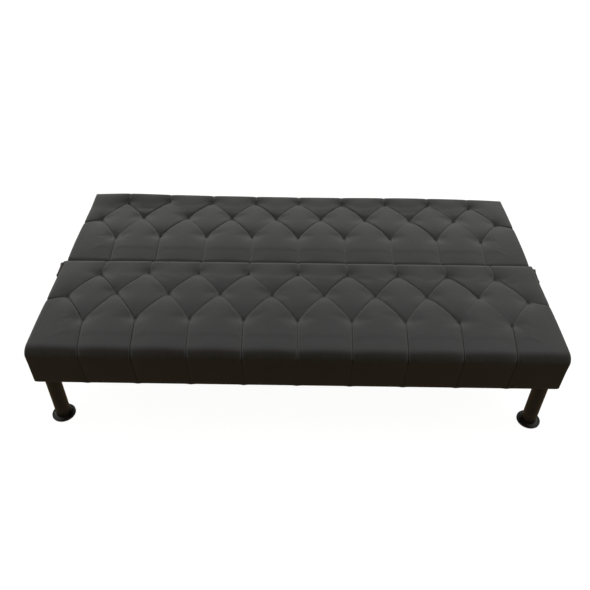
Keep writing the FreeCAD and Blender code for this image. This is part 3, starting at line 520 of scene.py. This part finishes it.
def make_lattice(half):
    """The plan positions of the lattice points, as an array [column, row, xy]."""
    rows = tuft_rows(half["ties"])
    x_edge = half["x_edge"]
    y_front, y_rear = half["y_range"]
    place = np.zeros((21, 5, 2))
    for r, first in ((1, 2), (2, 1), (3, 2)):
        columns = list(range(first, 20, 2))
        for c, tuft in zip(columns, rows[r - 1], strict=True):
            place[c, r] = tuft[0], tuft[1] - half["slant"][r - 1]
        for c in range(columns[0] + 1, columns[-1], 2):
            place[c, r] = (place[c - 1, r] + place[c + 1, r]) / 2
    for r in (1, 3):
        for c, inner, way in ((1, 2, -1), (19, 18, 1)):
            place[c, r] = (way * 779.0, place[inner, r, 1] - 5.0)
    for r in (1, 2, 3):
        for c, inner, way in ((0, 1, -1), (20, 19, 1)):
            lean = half["side_lean"] if r == 2 else half["side_lean"] / 2
            place[c, r] = (way * x_edge, place[inner, r, 1] - lean)
    for r, inner, y, drift in ((0, 1, y_front, half["front_drift"]), (4, 3, y_rear, half["rear_drift"])):
        place[:, r, 0] = place[:, inner, 0] * drift
        place[:, r, 1] = y
        place[0, r, 0], place[20, r, 0] = -x_edge, x_edge
    return place


def band_fractions(reach, radius):
    """Fractions across a band that starts at an edge, equally spaced along its rounded surface."""
    quarter = radius * math.pi / 2
    length = quarter + reach - radius if reach > radius else radius * math.acos(1 - reach / radius)
    along = np.linspace(0, length, max(3, round(length / SURFACE_STEP)) + 1)
    across = np.where(along < quarter, radius * (1 - np.cos(np.minimum(along, quarter) / radius)), radius + along - quarter)
    return across / across[-1]


def lines_of(bands):
    """(band index, fraction) of every grid line, from each band's fractions."""
    index, fraction = [], []
    for i, part in enumerate(bands):
        last = i == len(bands) - 1
        for value in part if last else part[:-1]:
            index.append(i)
            fraction.append(value)
    return np.array(index), np.array(fraction)


PULL_FROM = np.array([0.0, 1.0, 2.0, 3.0, 4.0])
PULL_TO = np.array([0.0, 0.24, 1.30, 2.70, 4.0])


def pulled(offset, strength):
    """Draws grid lines in towards a pleat, so that the fold at it is narrow."""
    size = np.abs(offset) * CELLS
    moved = np.where(size < 4, np.interp(size, PULL_FROM, PULL_TO), size) / CELLS
    return np.sign(offset) * (np.abs(offset) + strength * (moved - np.abs(offset)))


def grid_of(half):
    """The top's grid: plan positions, and the pleat strength, share along the pleat and distance from its tuft."""
    place = make_lattice(half)
    reach_side = half["x_edge"] - place[19, 2, 0]
    side = band_fractions(reach_side, SIDE_RADIUS)
    even = np.linspace(0, 1, CELLS + 1)
    column, s = lines_of([side] + [even] * 18 + [1 - side[::-1]])
    front_reach = place[10, 1, 1] - half["y_range"][0]
    rear_reach = half["y_range"][1] - place[10, 3, 1]
    front = band_fractions(front_reach, half["front_round"][0])
    rear = band_fractions(rear_reach, half["rear_round"][0])
    row, t = lines_of([front, even, even, 1 - rear[::-1]])
    a, b = np.meshgrid(column, row, indexing="ij")
    s, t = np.meshgrid(s, t, indexing="ij")

    inner = (a >= 1) & (a <= 18)
    crossed = inner & ((b == 1) | (b == 2))
    lower_left = ((a % 2 == 0) & (b == 1)) | ((a % 2 == 1) & (b == 2))
    flipped = np.where(lower_left, s, 1 - s)
    q, r = flipped - t, (flipped + t) / 2
    fade = smoothstep((np.minimum(r, 1 - r) - 0.143) / 0.10)
    q_new = pulled(q, fade)
    s_cross, t_cross = r + q_new / 2, r - q_new / 2
    s_cross = np.where(lower_left, s_cross, 1 - s_cross)

    upright = inner & ((b == 0) | (b == 3))
    from_tuft = np.where(b == 0, (1 - t) * front_reach, t * rear_reach)
    near_right = (a % 2 == 1)
    offset = np.where(near_right, 1 - s, s)
    offset = pulled(offset, smoothstep((from_tuft - 6.0) / 20.0))
    s_upright = np.where(near_right, 1 - offset, offset)

    sideways = ~inner & ((b == 1) | (b == 2))
    from_end = np.where(a == 0, 1 - s, s) * reach_side
    offset = pulled(np.where(b == 1, 1 - t, t), smoothstep((from_end - 6.0) / 20.0))
    t_side = np.where(b == 1, 1 - offset, offset)

    s_new = np.where(crossed, s_cross, np.where(upright, s_upright, s))
    t_new = np.where(crossed, t_cross, np.where(sideways, t_side, t))
    low, high = place[a, b], place[a + 1, b]
    low_up, high_up = place[a, b + 1], place[a + 1, b + 1]
    u, v = s_new[..., None], t_new[..., None]
    plan = (low * (1 - u) + high * u) * (1 - v) + (low_up * (1 - u) + high_up * u) * v

    # What each grid point is: its pleat, if it lies on one
    strength = np.zeros(a.shape)
    share = np.zeros(a.shape)
    distance = np.full(a.shape, -1.0)
    kind = np.zeros(a.shape, int)
    middle = half["pleats"]
    for i, j in np.argwhere(crossed & (np.abs(q) < 1e-9)):
        key = (a[i, j], b[i, j])
        strength[i, j], share[i, j], kind[i, j] = middle[key], r[i, j], 1
    tuft = np.zeros(a.shape, bool)
    column_lines = {}
    for c in range(21):
        hit = np.where((column == c) & (s[:, 0] == 0))[0] if c < 20 else np.array([len(column) - 1])
        column_lines[c] = int(hit[0])
    row_lines = {}
    for rr in range(5):
        hit = np.where((row == rr) & (t[0] == 0))[0] if rr < 4 else np.array([len(row) - 1])
        row_lines[rr] = int(hit[0])
    for c in range(2, 20, 2):
        i = column_lines[c]
        for j in range(row_lines[0], row_lines[1] + 1):
            strength[i, j], kind[i, j] = half["front_pleats"][c // 2 - 1], 2
            distance[i, j] = (1 - t[i, j]) * front_reach if j < row_lines[1] else 0.0
        for j in range(row_lines[3], row_lines[4] + 1):
            strength[i, j], kind[i, j] = half["rear_pleats"][c // 2 - 1], 2
            distance[i, j] = np.abs(plan[i, j, 1] - plan[i, row_lines[3], 1])
    j = row_lines[2]
    for columns, value in ((range(column_lines[0], column_lines[1] + 1), half["side_pleats"][0]),
                           (range(column_lines[19], column_lines[20] + 1), half["side_pleats"][1])):
        for i in columns:
            strength[i, j], kind[i, j] = value, 2
            end = column_lines[1] if i <= column_lines[1] else column_lines[19]
            distance[i, j] = np.abs(plan[i, j, 0] - plan[end, j, 0])
    for rr, first in ((1, 2), (2, 1), (3, 2)):
        for c in range(first, 20, 2):
            tuft[column_lines[c], row_lines[rr]] = True
    return dict(plan=plan, a=a, b=b, q=q, lower_left=lower_left, crossed=crossed, strength=strength,
                share=share, distance=distance, kind=kind, tuft=tuft, columns=column_lines, rows=row_lines)


def rounded_drop(distance, run, rise, power=2.0):
    """How far a rounded edge lies below the top at a plan distance from it; under 2, power gives a firmer shoulder."""
    inside = np.clip(1 - distance / run, 0, 1)
    return rise * (1 - (1 - inside**power) ** (1 / power))


def ease(distance, run, drop):
    """A gentle fall towards an edge."""
    return drop * np.clip(1 - distance / run, 0, 1) ** 2


def round_corners(plan, half):
    """Squeezes the rectangle's corners into quarter circles."""
    x_in = half["x_edge"] - CORNER_RADIUS
    y_low, y_high = half["y_range"][0] + CORNER_RADIUS, half["y_range"][1] - CORNER_RADIUS
    centre = np.stack([np.clip(plan[..., 0], -x_in, x_in), np.clip(plan[..., 1], y_low, y_high)], -1)
    out = plan - centre
    both = (np.abs(out) > 1e-9).all(-1)
    size = np.hypot(out[..., 0], out[..., 1])
    scale = np.where(both, np.abs(out).max(-1) / np.maximum(size, 1e-9), 1.0)
    return centre + out * scale[..., None]


def top_height(plan, half):
    """The upper surface without its tufts: slightly crowned, and rounded over at all four edges."""
    x, y = plan[..., 0], plan[..., 1]
    front, rear = y - half["y_range"][0], half["y_range"][1] - y
    side = half["x_edge"] - np.abs(x)
    drop_side = rounded_drop(side, SIDE_RADIUS, SIDE_RADIUS)
    drop_front = rounded_drop(front, *half["front_round"]) + ease(front, *half["front_ease"])
    drop_rear = rounded_drop(rear, *half["rear_round"])
    total = (drop_side**2.5 + drop_front**2.5 + drop_rear**2.5) ** (1 / 2.5)
    lift = np.interp(x, *half["rear_lift"]) * smoothstep(1 - rear / 110)
    return half["top_z"] + half["crown"] + lift - total


def wall_rows(ring, half, columns_share):
    """Positions of the rings below the top: down the sides, round the bottom edge and in under the hem."""
    base = half["base_z"]
    rings = []
    for k in range(1, WALL_ROWS + 1):
        share = k / WALL_ROWS
        level = ring.copy()
        level[:, 2] = ring[:, 2] + (base - 1.0 - ring[:, 2]) * share
        level[:, 0] += columns_share * share
        rings.append(level)
    last = rings[-1]
    centre_y = sum(half["y_range"]) / 2
    for inset, z in ((0.6, base - 3.0), (2.5, base - 3.8), (9.0, base - 3.2), (14.0, base + 1.1)):
        level = last.copy()
        level[:, 0] *= (half["x_edge"] - inset) / half["x_edge"]
        half_depth = (half["y_range"][1] - half["y_range"][0]) / 2
        level[:, 1] = centre_y + (level[:, 1] - centre_y) * (half_depth - inset) / half_depth
        level[:, 2] = z
        rings.append(level)
    return rings


def vertex_normals(points, triangles):
    """Area-weighted normals."""
    p = points[triangles]
    cross = np.cross(p[:, 1] - p[:, 0], p[:, 2] - p[:, 0])
    total = np.zeros_like(points)
    for k in range(3):
        np.add.at(total, triangles[:, k], cross)
    return total / np.maximum(np.linalg.norm(total, axis=1, keepdims=True), 1e-12)


def membrane(points, triangles, source, anchor, target):
    """Offsets of a stretched skin pressed from inside by source, held at target as stiffly as anchor says."""
    count = len(points)
    p = points[triangles]
    rows, columns, weights = [], [], []
    area = np.zeros(count)
    face_area = np.linalg.norm(np.cross(p[:, 1] - p[:, 0], p[:, 2] - p[:, 0]), axis=1) / 2
    for k in range(3):
        i, j, o = triangles[:, k], triangles[:, (k + 1) % 3], p[:, (k + 2) % 3]
        e1, e2 = points[i] - o, points[j] - o
        cot = (e1 * e2).sum(1) / np.maximum(np.linalg.norm(np.cross(e1, e2), axis=1), 1e-9)
        w = np.clip(cot / 2, 0.01, 6.0)
        rows += [i, j]
        columns += [j, i]
        weights += [w, w]
        area += np.bincount(i, face_area / 3, count)
    rows, columns, weights = map(np.concatenate, (rows, columns, weights))
    stiff = anchor
    diagonal = np.bincount(rows, weights, count) + stiff

    def apply(x):
        return diagonal * x - np.bincount(rows, weights * x[columns], count)

    rhs = area * source + stiff * target
    x = target.copy()
    residual = rhs - apply(x)
    z = residual / diagonal
    direction, rho = z.copy(), residual @ z
    for _ in range(1200):
        image = apply(direction)
        alpha = rho / (direction @ image)
        x += alpha * direction
        residual -= alpha * image
        if np.abs(residual).max() < 1e-5:
            break
        z = residual / diagonal
        rho_next = residual @ z
        direction = z + rho_next / rho * direction
        rho = rho_next
    return x, area


def simulate(obj, frames, cap):
    """Blows the panels up between their pinned pleats with a cloth simulation, then applies it."""
    scene = bpy.context.scene
    before = np.array([v.co for v in obj.data.vertices])
    cloth = obj.modifiers.new("cloth", "CLOTH")
    settings = cloth.settings
    settings.quality = 6
    settings.mass = 0.25
    settings.tension_stiffness = 18
    settings.compression_stiffness = 12
    settings.shear_stiffness = 8
    settings.bending_stiffness = 1.5
    settings.use_pressure = True
    settings.uniform_pressure_force = 2
    settings.effector_weights.gravity = 0
    settings.vertex_group_mass = "pin"
    settings.shrink_min = -0.006
    cloth.point_cache.frame_start = 1
    cloth.point_cache.frame_end = frames
    for step in range(1, frames + 1):
        scene.frame_set(step)
    shaped = obj.evaluated_get(bpy.context.evaluated_depsgraph_get()).data
    after = np.array([v.co for v in shaped.vertices])
    obj.modifiers.remove(cloth)
    scene.frame_set(1)
    move = after - before
    size = np.linalg.norm(move, axis=1, keepdims=True)
    print("cloth", obj.name, "largest move mm", size.max() / MM, "mean", size.mean() / MM)
    after = before + move * np.minimum(1, cap / np.maximum(size, 1e-9)) * SETTLE
    obj.data.vertices.foreach_set("co", after.ravel())
    obj.data.update()


def build_cushion(half):
    """One tufted half of the bed as a closed, simulated cover."""
    grid = grid_of(half)
    plan = round_corners(grid["plan"], half)
    nu, nv = plan.shape[:2]
    z = top_height(plan, half)
    top = np.concatenate([plan, z[..., None]], -1).reshape(-1, 3)
    index = np.arange(nu * nv).reshape(nu, nv)
    ring = np.concatenate([index[:-1, 0], index[-1, :-1], index[:0:-1, -1], index[0, :0:-1]])
    on_front = np.zeros(len(ring), bool)
    on_front[: nu] = True
    on_rear = np.zeros(len(ring), bool)
    on_rear[nu - 1 + nv - 1: nu - 1 + nv - 1 + nu] = True
    ring_points = top[ring]
    shift = np.where(on_front, ring_points[:, 0] * half["wall_drift"], 0.0)
    shift *= np.clip((half["x_edge"] - np.abs(ring_points[:, 0])) / 60, 0, 1)
    rings = wall_rows(ring_points, half, shift)
    points = np.concatenate([top] + rings)
    count = len(ring)

    # The top edge stands out a little past the walls' foot at both sides
    ys, left, right = half["flare"]
    out = np.where(points[:, 0] < 0, np.interp(points[:, 1], ys, left), np.interp(points[:, 1], ys, right))
    height = np.clip((points[:, 2] - half["base_z"]) / (half["top_z"] - half["base_z"]), 0, 1)
    inward = smoothstep((np.abs(points[:, 0]) / half["x_edge"] - 0.85) / 0.15)
    steepness = 3 + 6 * smoothstep((points[:, 1] + 290) / 50)
    points[:, 0] += np.sign(points[:, 0]) * out * height**steepness * inward
    ring_index = [ring] + [nu * nv + k * count + np.arange(count) for k in range(len(rings))]

    # Faces: the top, split along its pleats, then the rings and the closed underside
    faces = []
    creases = {}
    a, b, q = grid["a"], grid["b"], grid["q"]
    on_line = np.abs(q) < 1e-9
    for i in range(nu - 1):
        for j in range(nv - 1):
            c00, c10, c11, c01 = index[i, j], index[i + 1, j], index[i + 1, j + 1], index[i, j + 1]
            if grid["crossed"][i, j]:
                if grid["lower_left"][i, j] and on_line[i, j]:
                    faces += [(c00, c10, c11), (c00, c11, c01)]
                    creases[(c00, c11)] = half["pleats"][(a[i, j], b[i, j])]
                    continue
                if not grid["lower_left"][i, j]:
                    s_right = (i + 1 - grid["columns"][a[i, j]]) / CELLS
                    t_low = (j - grid["rows"][b[i, j]]) / CELLS
                    if abs((1 - s_right) - t_low) < 1e-9:
                        faces += [(c00, c10, c01), (c10, c11, c01)]
                        creases[(c10, c01)] = half["pleats"][(a[i, j], b[i, j])]
                        continue
            faces.append((c00, c10, c11, c01))
    for upper, lower in zip(ring_index, ring_index[1:]):
        for k in range(count):
            n = (k + 1) % count
            faces.append((upper[k], lower[k], lower[n], upper[n]))
    last = ring_index[-1]
    front_ids = last[: nu]
    rear_ids = last[nu - 1 + nv - 1: nu - 1 + nv - 1 + nu][::-1]
    right_ids = last[nu - 1: nu + nv - 1]
    left_ids = np.concatenate([last[nu - 1 + nv - 1 + nu - 1:], last[:1]])[::-1]
    for i in range(1, nu - 2):
        faces.append((front_ids[i], rear_ids[i], rear_ids[i + 1], front_ids[i + 1]))
    faces.append(tuple([front_ids[1]] + [front_ids[0]] + list(left_ids[1:-1]) + [rear_ids[0], rear_ids[1]]))
    faces.append(tuple([rear_ids[-2], rear_ids[-1]] + list(right_ids[1:-1][::-1]) + [front_ids[-1], front_ids[-2]]))

    # What holds each vertex, and where
    strength = np.zeros(len(points))
    target = np.zeros(len(points))
    flat = grid["strength"].ravel()
    kind = grid["kind"].ravel()
    share, distance = grid["share"].ravel(), grid["distance"].ravel()
    strength[: nu * nv] = flat
    y_top = top[:, 1]
    tuft_drop = TUFT_DROP * (1 - 0.35 * smoothstep((y_top - half["y_range"][1] + 60) / 30))
    across = -PLEAT_DROP - (TUFT_DROP - PLEAT_DROP) * np.abs(2 * share - 1) ** 2.6
    run = np.where(y_top > half["y_range"][1] - 60, 6.0, PLEAT_RUN)
    along = -PLEAT_DROP - (tuft_drop - PLEAT_DROP) * np.exp(-np.maximum(distance, 0) / run)
    target[: nu * nv] = np.where(kind == 1, across, np.where(kind == 2, along, 0.0))
    for c in range(2, 20, 2):
        i = grid["columns"][c]
        creases.update({(index[i, j], index[i, j + 1]): half["front_pleats"][c // 2 - 1] for j in range(grid["rows"][1])})
        creases.update({(index[i, j], index[i, j + 1]): half["rear_pleats"][c // 2 - 1] for j in range(grid["rows"][3], nv - 1)})
    j = grid["rows"][2]
    creases.update({(index[i, j], index[i + 1, j]): half["side_pleats"][0] for i in range(grid["columns"][1])})
    creases.update({(index[i, j], index[i + 1, j]): half["side_pleats"][1] for i in range(grid["columns"][19], nu - 1)})
    pleat_ring = np.zeros(count)
    for c in range(2, 20, 2):
        i = grid["columns"][c]
        pleat_ring[i] = half["front_pleats"][c // 2 - 1]
        pleat_ring[nu - 1 + nv - 1 + (nu - 1 - i)] = half["rear_pleats"][c // 2 - 1]
    pleat_ring[nu - 1 + j] = half["side_pleats"][1] * 0.7
    pleat_ring[2 * (nu - 1) + (nv - 1) + (nv - 1 - j)] = half["side_pleats"][0] * 0.7
    side_ring = ~(on_front | on_rear)
    slit_fade = np.ones(len(points))
    for level, ids in enumerate(ring_index[1:], 1):
        fade = np.where(side_ring, np.clip(1 - (level - 1) / WALL_ROWS, 0, 1), 1.0)
        hold = pleat_ring * fade
        if level <= WALL_ROWS:
            strength[ids] = hold
            target[ids] = np.where(hold > 0, -2.2 * fade, 0.0)
            for k in np.where(hold > 0.05)[0]:
                creases[(ring_index[level - 1][k], ids[k])] = hold[k]
    wall = np.zeros(len(points), bool)
    wall[nu * nv:] = True
    hem = np.zeros(len(points), bool)
    hem[nu * nv + (WALL_ROWS - 1) * count:] = True
    seam_y = sum(half["y_range"]) - half["outer_y"]
    at_seam = wall & (np.abs(points[:, 1] - seam_y) < 4)
    target[at_seam] *= 0.25
    tuft = np.zeros(len(points), bool)
    tuft[: nu * nv] = grid["tuft"].ravel()
    target[tuft] = -tuft_drop[tuft[: nu * nv]] + rng.uniform(-1.2, 0.8, tuft.sum())
    strength[tuft] = 1.0

    triangles = np.array([t for f in faces if len(f) < 5 for t in ([f] if len(f) == 3 else [(f[0], f[1], f[2]), (f[0], f[2], f[3])])])
    normals = vertex_normals(points, triangles)
    y = points[:, 1]
    row_front = grid["plan"][grid["columns"][10], grid["rows"][1], 1]
    toward_edge = smoothstep((row_front - y) / 60.0)
    source = np.where(wall, 0.0008, 0.0017 * (1 - toward_edge) + 0.0012 * toward_edge)
    edge_distance = np.minimum(half["x_edge"] - np.abs(points[:, 0]), np.minimum(y - half["y_range"][0], half["y_range"][1] - y))
    near_edge = smoothstep(1 - edge_distance / 30.0)
    source *= 1 - 0.9 * near_edge * ~wall
    foundation = np.where(wall, 1 / 45.0**2, near_edge**2 / 7.0**2)
    anchor = HARD * np.clip(strength, 0, 1.2) ** 2.5
    anchor[tuft] = HARD * 5
    anchor[hem] = HARD * 5
    first, area = membrane(points, triangles, source, anchor, target)
    anchor = anchor + area * foundation
    lift, _ = membrane(points, triangles, source, anchor, target)
    print(half["name"], "lift range", lift.min(), lift.max(), "verts", len(points), "faces", len(faces))
    points = points + normals * lift[:, None]

    mesh = bpy.data.meshes.new(half["name"])
    mesh.from_pydata((points * MM).tolist(), [], [tuple(int(v) for v in f) for f in faces])
    mesh.update()
    obj = bpy.data.objects.new(half["name"], mesh)
    bpy.context.scene.collection.objects.link(obj)
    pins = obj.vertex_groups.new(name="pin")
    hold = np.maximum(np.clip(strength * 1.4, 0, 1), np.where(wall, 0.9, 0.95 * smoothstep(1.05 - edge_distance / 110.0)))
    hold[tuft | hem] = 1.0
    for value in np.unique(hold.round(2)):
        if value > 0.05:
            pins.add([int(v) for v in np.where(hold.round(2) == value)[0]], float(value), "REPLACE")
    simulate(obj, 20, 3 * MM)
    obj.vertex_groups.remove(pins)

    # The folds themselves: narrow slits along the pleats, and a small bump where each ends below the front edge
    co = np.array([v.co for v in mesh.vertices]) / MM
    normals = vertex_normals(co, triangles)
    gate = np.ones(len(points))
    gate[: nu * nv] = np.where(kind == 1, smoothstep(np.minimum(share, 1 - share) / 0.12),
                               np.where(kind == 2, smoothstep(np.maximum(distance, 0) / 16.0), 1.0))
    depth = SLIT_DEPTH * np.clip(strength, 0, 1.2) * gate
    depth[wall] *= 0.7
    depth[at_seam] *= 0.3
    depth[hem] = 0
    depth[tuft] = 3.0
    co -= normals * depth[:, None]
    low_rows = co[:, 2] < half["base_z"] + 3.0
    for k in np.where(pleat_ring * on_front > 0)[0]:
        x = ring_points[k, 0] + shift[k]
        near = low_rows & (np.abs(co[:, 0] - x) < 22) & (np.abs(co[:, 1] - half["y_range"][0]) < 12)
        swell = np.exp(-((co[near, 0] - x) / 8.0) ** 2)
        co[near, 2] -= 2.6 * swell
    mesh.vertices.foreach_set("co", (co * MM).ravel())

    keys = {tuple(sorted(edge.vertices)): edge.index for edge in mesh.edges}
    values = np.zeros(len(mesh.edges), np.float32)
    for (first_id, second_id), value in creases.items():
        values[keys[tuple(sorted((int(first_id), int(second_id))))]] = min(1.0, 0.35 + value)
    for k in (0, nu - 1, nu - 1 + nv - 1, 2 * (nu - 1) + nv - 1):
        for upper, lower in zip(ring_index[:WALL_ROWS], ring_index[1: WALL_ROWS + 1]):
            values[keys[tuple(sorted((int(upper[k]), int(lower[k]))))]] = 0.35
    mesh.attributes.new("crease_edge", "FLOAT", "EDGE").data.foreach_set("value", values)

    # Attributes for the leather: how close to a fold, which sets the painted shade in the pleats and tufts, and how
    # exposed an edge
    # dark is the painted shade: strongest along the firmest pleats and full at the tufts.
    dark = np.zeros(len(co))
    dark = np.maximum(dark, np.clip(strength, 0, 1) * np.where(hem, 0, 1))
    dark[tuft] = 1.0
    attribute = mesh.attributes.new("crease_shade", "FLOAT", "POINT")
    attribute.data.foreach_set("value", dark.astype(np.float32))
    exposed = np.where(wall, np.where(hem, 1.0, 0.0), near_edge)
    attribute = mesh.attributes.new("edge", "FLOAT", "POINT")
    attribute.data.foreach_set("value", exposed.astype(np.float32))
    subdivide = obj.modifiers.new("subdivide", "SUBSURF")
    subdivide.levels = subdivide.render_levels = 1
    subdivide.use_creases = True
    smooth = bpy.data.meshes.new_from_object(obj.evaluated_get(bpy.context.evaluated_depsgraph_get()))
    obj.modifiers.clear()
    obj.data = smooth
    smooth.name = half["name"]
    for polygon in smooth.polygons:
        polygon.use_smooth = True
    smooth.update()
    return obj


# Cell by cell from the left, the strength in eighths of each pleat that crosses between two rows of tufts
SEAT_NEAR = (8, 3.5, 8, 4, 5, 3.5, 5, 5, 7, 5, 2, 6, 7, 4, 8, 0.5, 0.5, 4)
SEAT_FAR = (3.5, 8, 2, 5, 3.5, 4, 5, 1, 5, 2, 9.5, 5, 7, 5, 6.5, 10, 3, 4)
BACK_NEAR = (6.5, 1.2, 5, 5, 2, 5, 8, 0.7, 8, 4, 4, 1, 7, 1, 6.5, 4, 0.5, 5.5)
BACK_FAR = (2, 8, 6.5, 0.5, 8, 4, 2, 8, 2, 2, 6, 7, 2.5, 2, 7, 1, 7, 2)


def pleat_table(near, far):
    """Strengths of the crossing pleats, keyed by lattice cell."""
    return {(k + 1, band): value / 8 for band, row in ((1, near), (2, far)) for k, value in enumerate(row)}


def make_halves(materials):
    """The seat's and the backrest's cushions."""
    seat_low, seat_high = (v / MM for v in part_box("seat_cover"))
    back_low, back_high = (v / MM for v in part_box("back_cover"))
    base_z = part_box("seat_dust_cover")[0].z / MM
    seat = dict(
        name="seat_cushion", body="seat", ties="seat_tuft_ties", x_edge=seat_high.x,
        y_range=(seat_low.y, seat_high.y), top_z=seat_high.z, base_z=base_z,
        front_round=(34.0, 27.0, 1.8), rear_round=(10.0, 10.0), front_ease=(300.0, 8.0), crown=8.0,
        rear_lift=((-838, -600, 0, 838), (-2.5, -0.5, 1.0, 2.0)), flare=((-460, 8), (4.5, 5.0), (7.5, 7.0)),
        front_drift=0.973, rear_drift=0.992, wall_drift=-0.014, side_lean=30.0, slant=(20.0, 24.0, 27.0),
        pleats=pleat_table(SEAT_NEAR, SEAT_FAR),
        front_pleats=[0.8, 0.9, 0.7, 0.7, 0.6, 0.7, 0.8, 0.8, 0.9],
        rear_pleats=[0.5, 0.3, 0.45, 0.7, 0.4, 0.5, 0.4, 0.35, 0.5],
        side_pleats=[0.8, 0.25], outer_y=seat_low.y,
    )
    back = dict(
        name="back_cushion", body="back", ties="back_tuft_ties", x_edge=back_high.x,
        y_range=(back_low.y, back_high.y), top_z=back_high.z, base_z=base_z,
        front_round=(16.0, 30.0), rear_round=(6.0, 6.0), front_ease=(260.0, 9.5), crown=4.0,
        rear_lift=((-838, -700, -600, -500, -400, -100, 100, 400, 500, 700, 838),
                   (7.0, 12.0, 9.0, 6.5, 5.0, 3.0, 3.0, 6.0, 5.8, 4.0, -1.0)), flare=((8, 460), (5.0, 3.5), (7.0, 3.5)),
        front_drift=0.985, rear_drift=1.0, wall_drift=0.0, side_lean=36.0, slant=(16.5, 19.5, 27.0),
        pleats=pleat_table(BACK_NEAR, BACK_FAR),
        front_pleats=[0.8, 0.8, 0.45, 0.4, 0.45, 0.45, 0.35, 0.5, 0.4],
        rear_pleats=[0.4, 0.4, 0.5, 0.4, 0.4, 0.4, 0.45, 0.4, 0.4],
        side_pleats=[1.0, 0.7], outer_y=back_high.y,
    )
    made = []
    for half, nodes in ((seat, ("seat_cover", "seat_foam", "seat_edge_padding")),
                        (back, ("back_cover", "back_foam", "back_edge_padding"))):
        cushion = build_cushion(half)
        cushion.data.materials.clear()
        cushion.data.materials.append(materials["faux_leather"])
        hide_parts(*nodes)
        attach(cushion, half["body"])
        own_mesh(cushion)
        made.append(cushion)
    return made


make_camera()
bpy.context.scene.view_settings.view_transform = "Standard"
make_world()
make_floor()
make_backdrop()
for name, place, size, power in (("overhead_front", (0.0, -0.10, 1.24), (3.6, 0.8), 4.2),
                                 ("overhead_right", (1.10, -0.10, 1.24), (1.5, 0.8), 3.6)):
    lamp = area_light(name, place, (place[0], place[1], 0.0), size, power, (0.95, 0.98, 1.0))
    lamp.visible_camera = False
all_materials = make_materials()
dress_nodes(all_materials)
make_halves(all_materials)
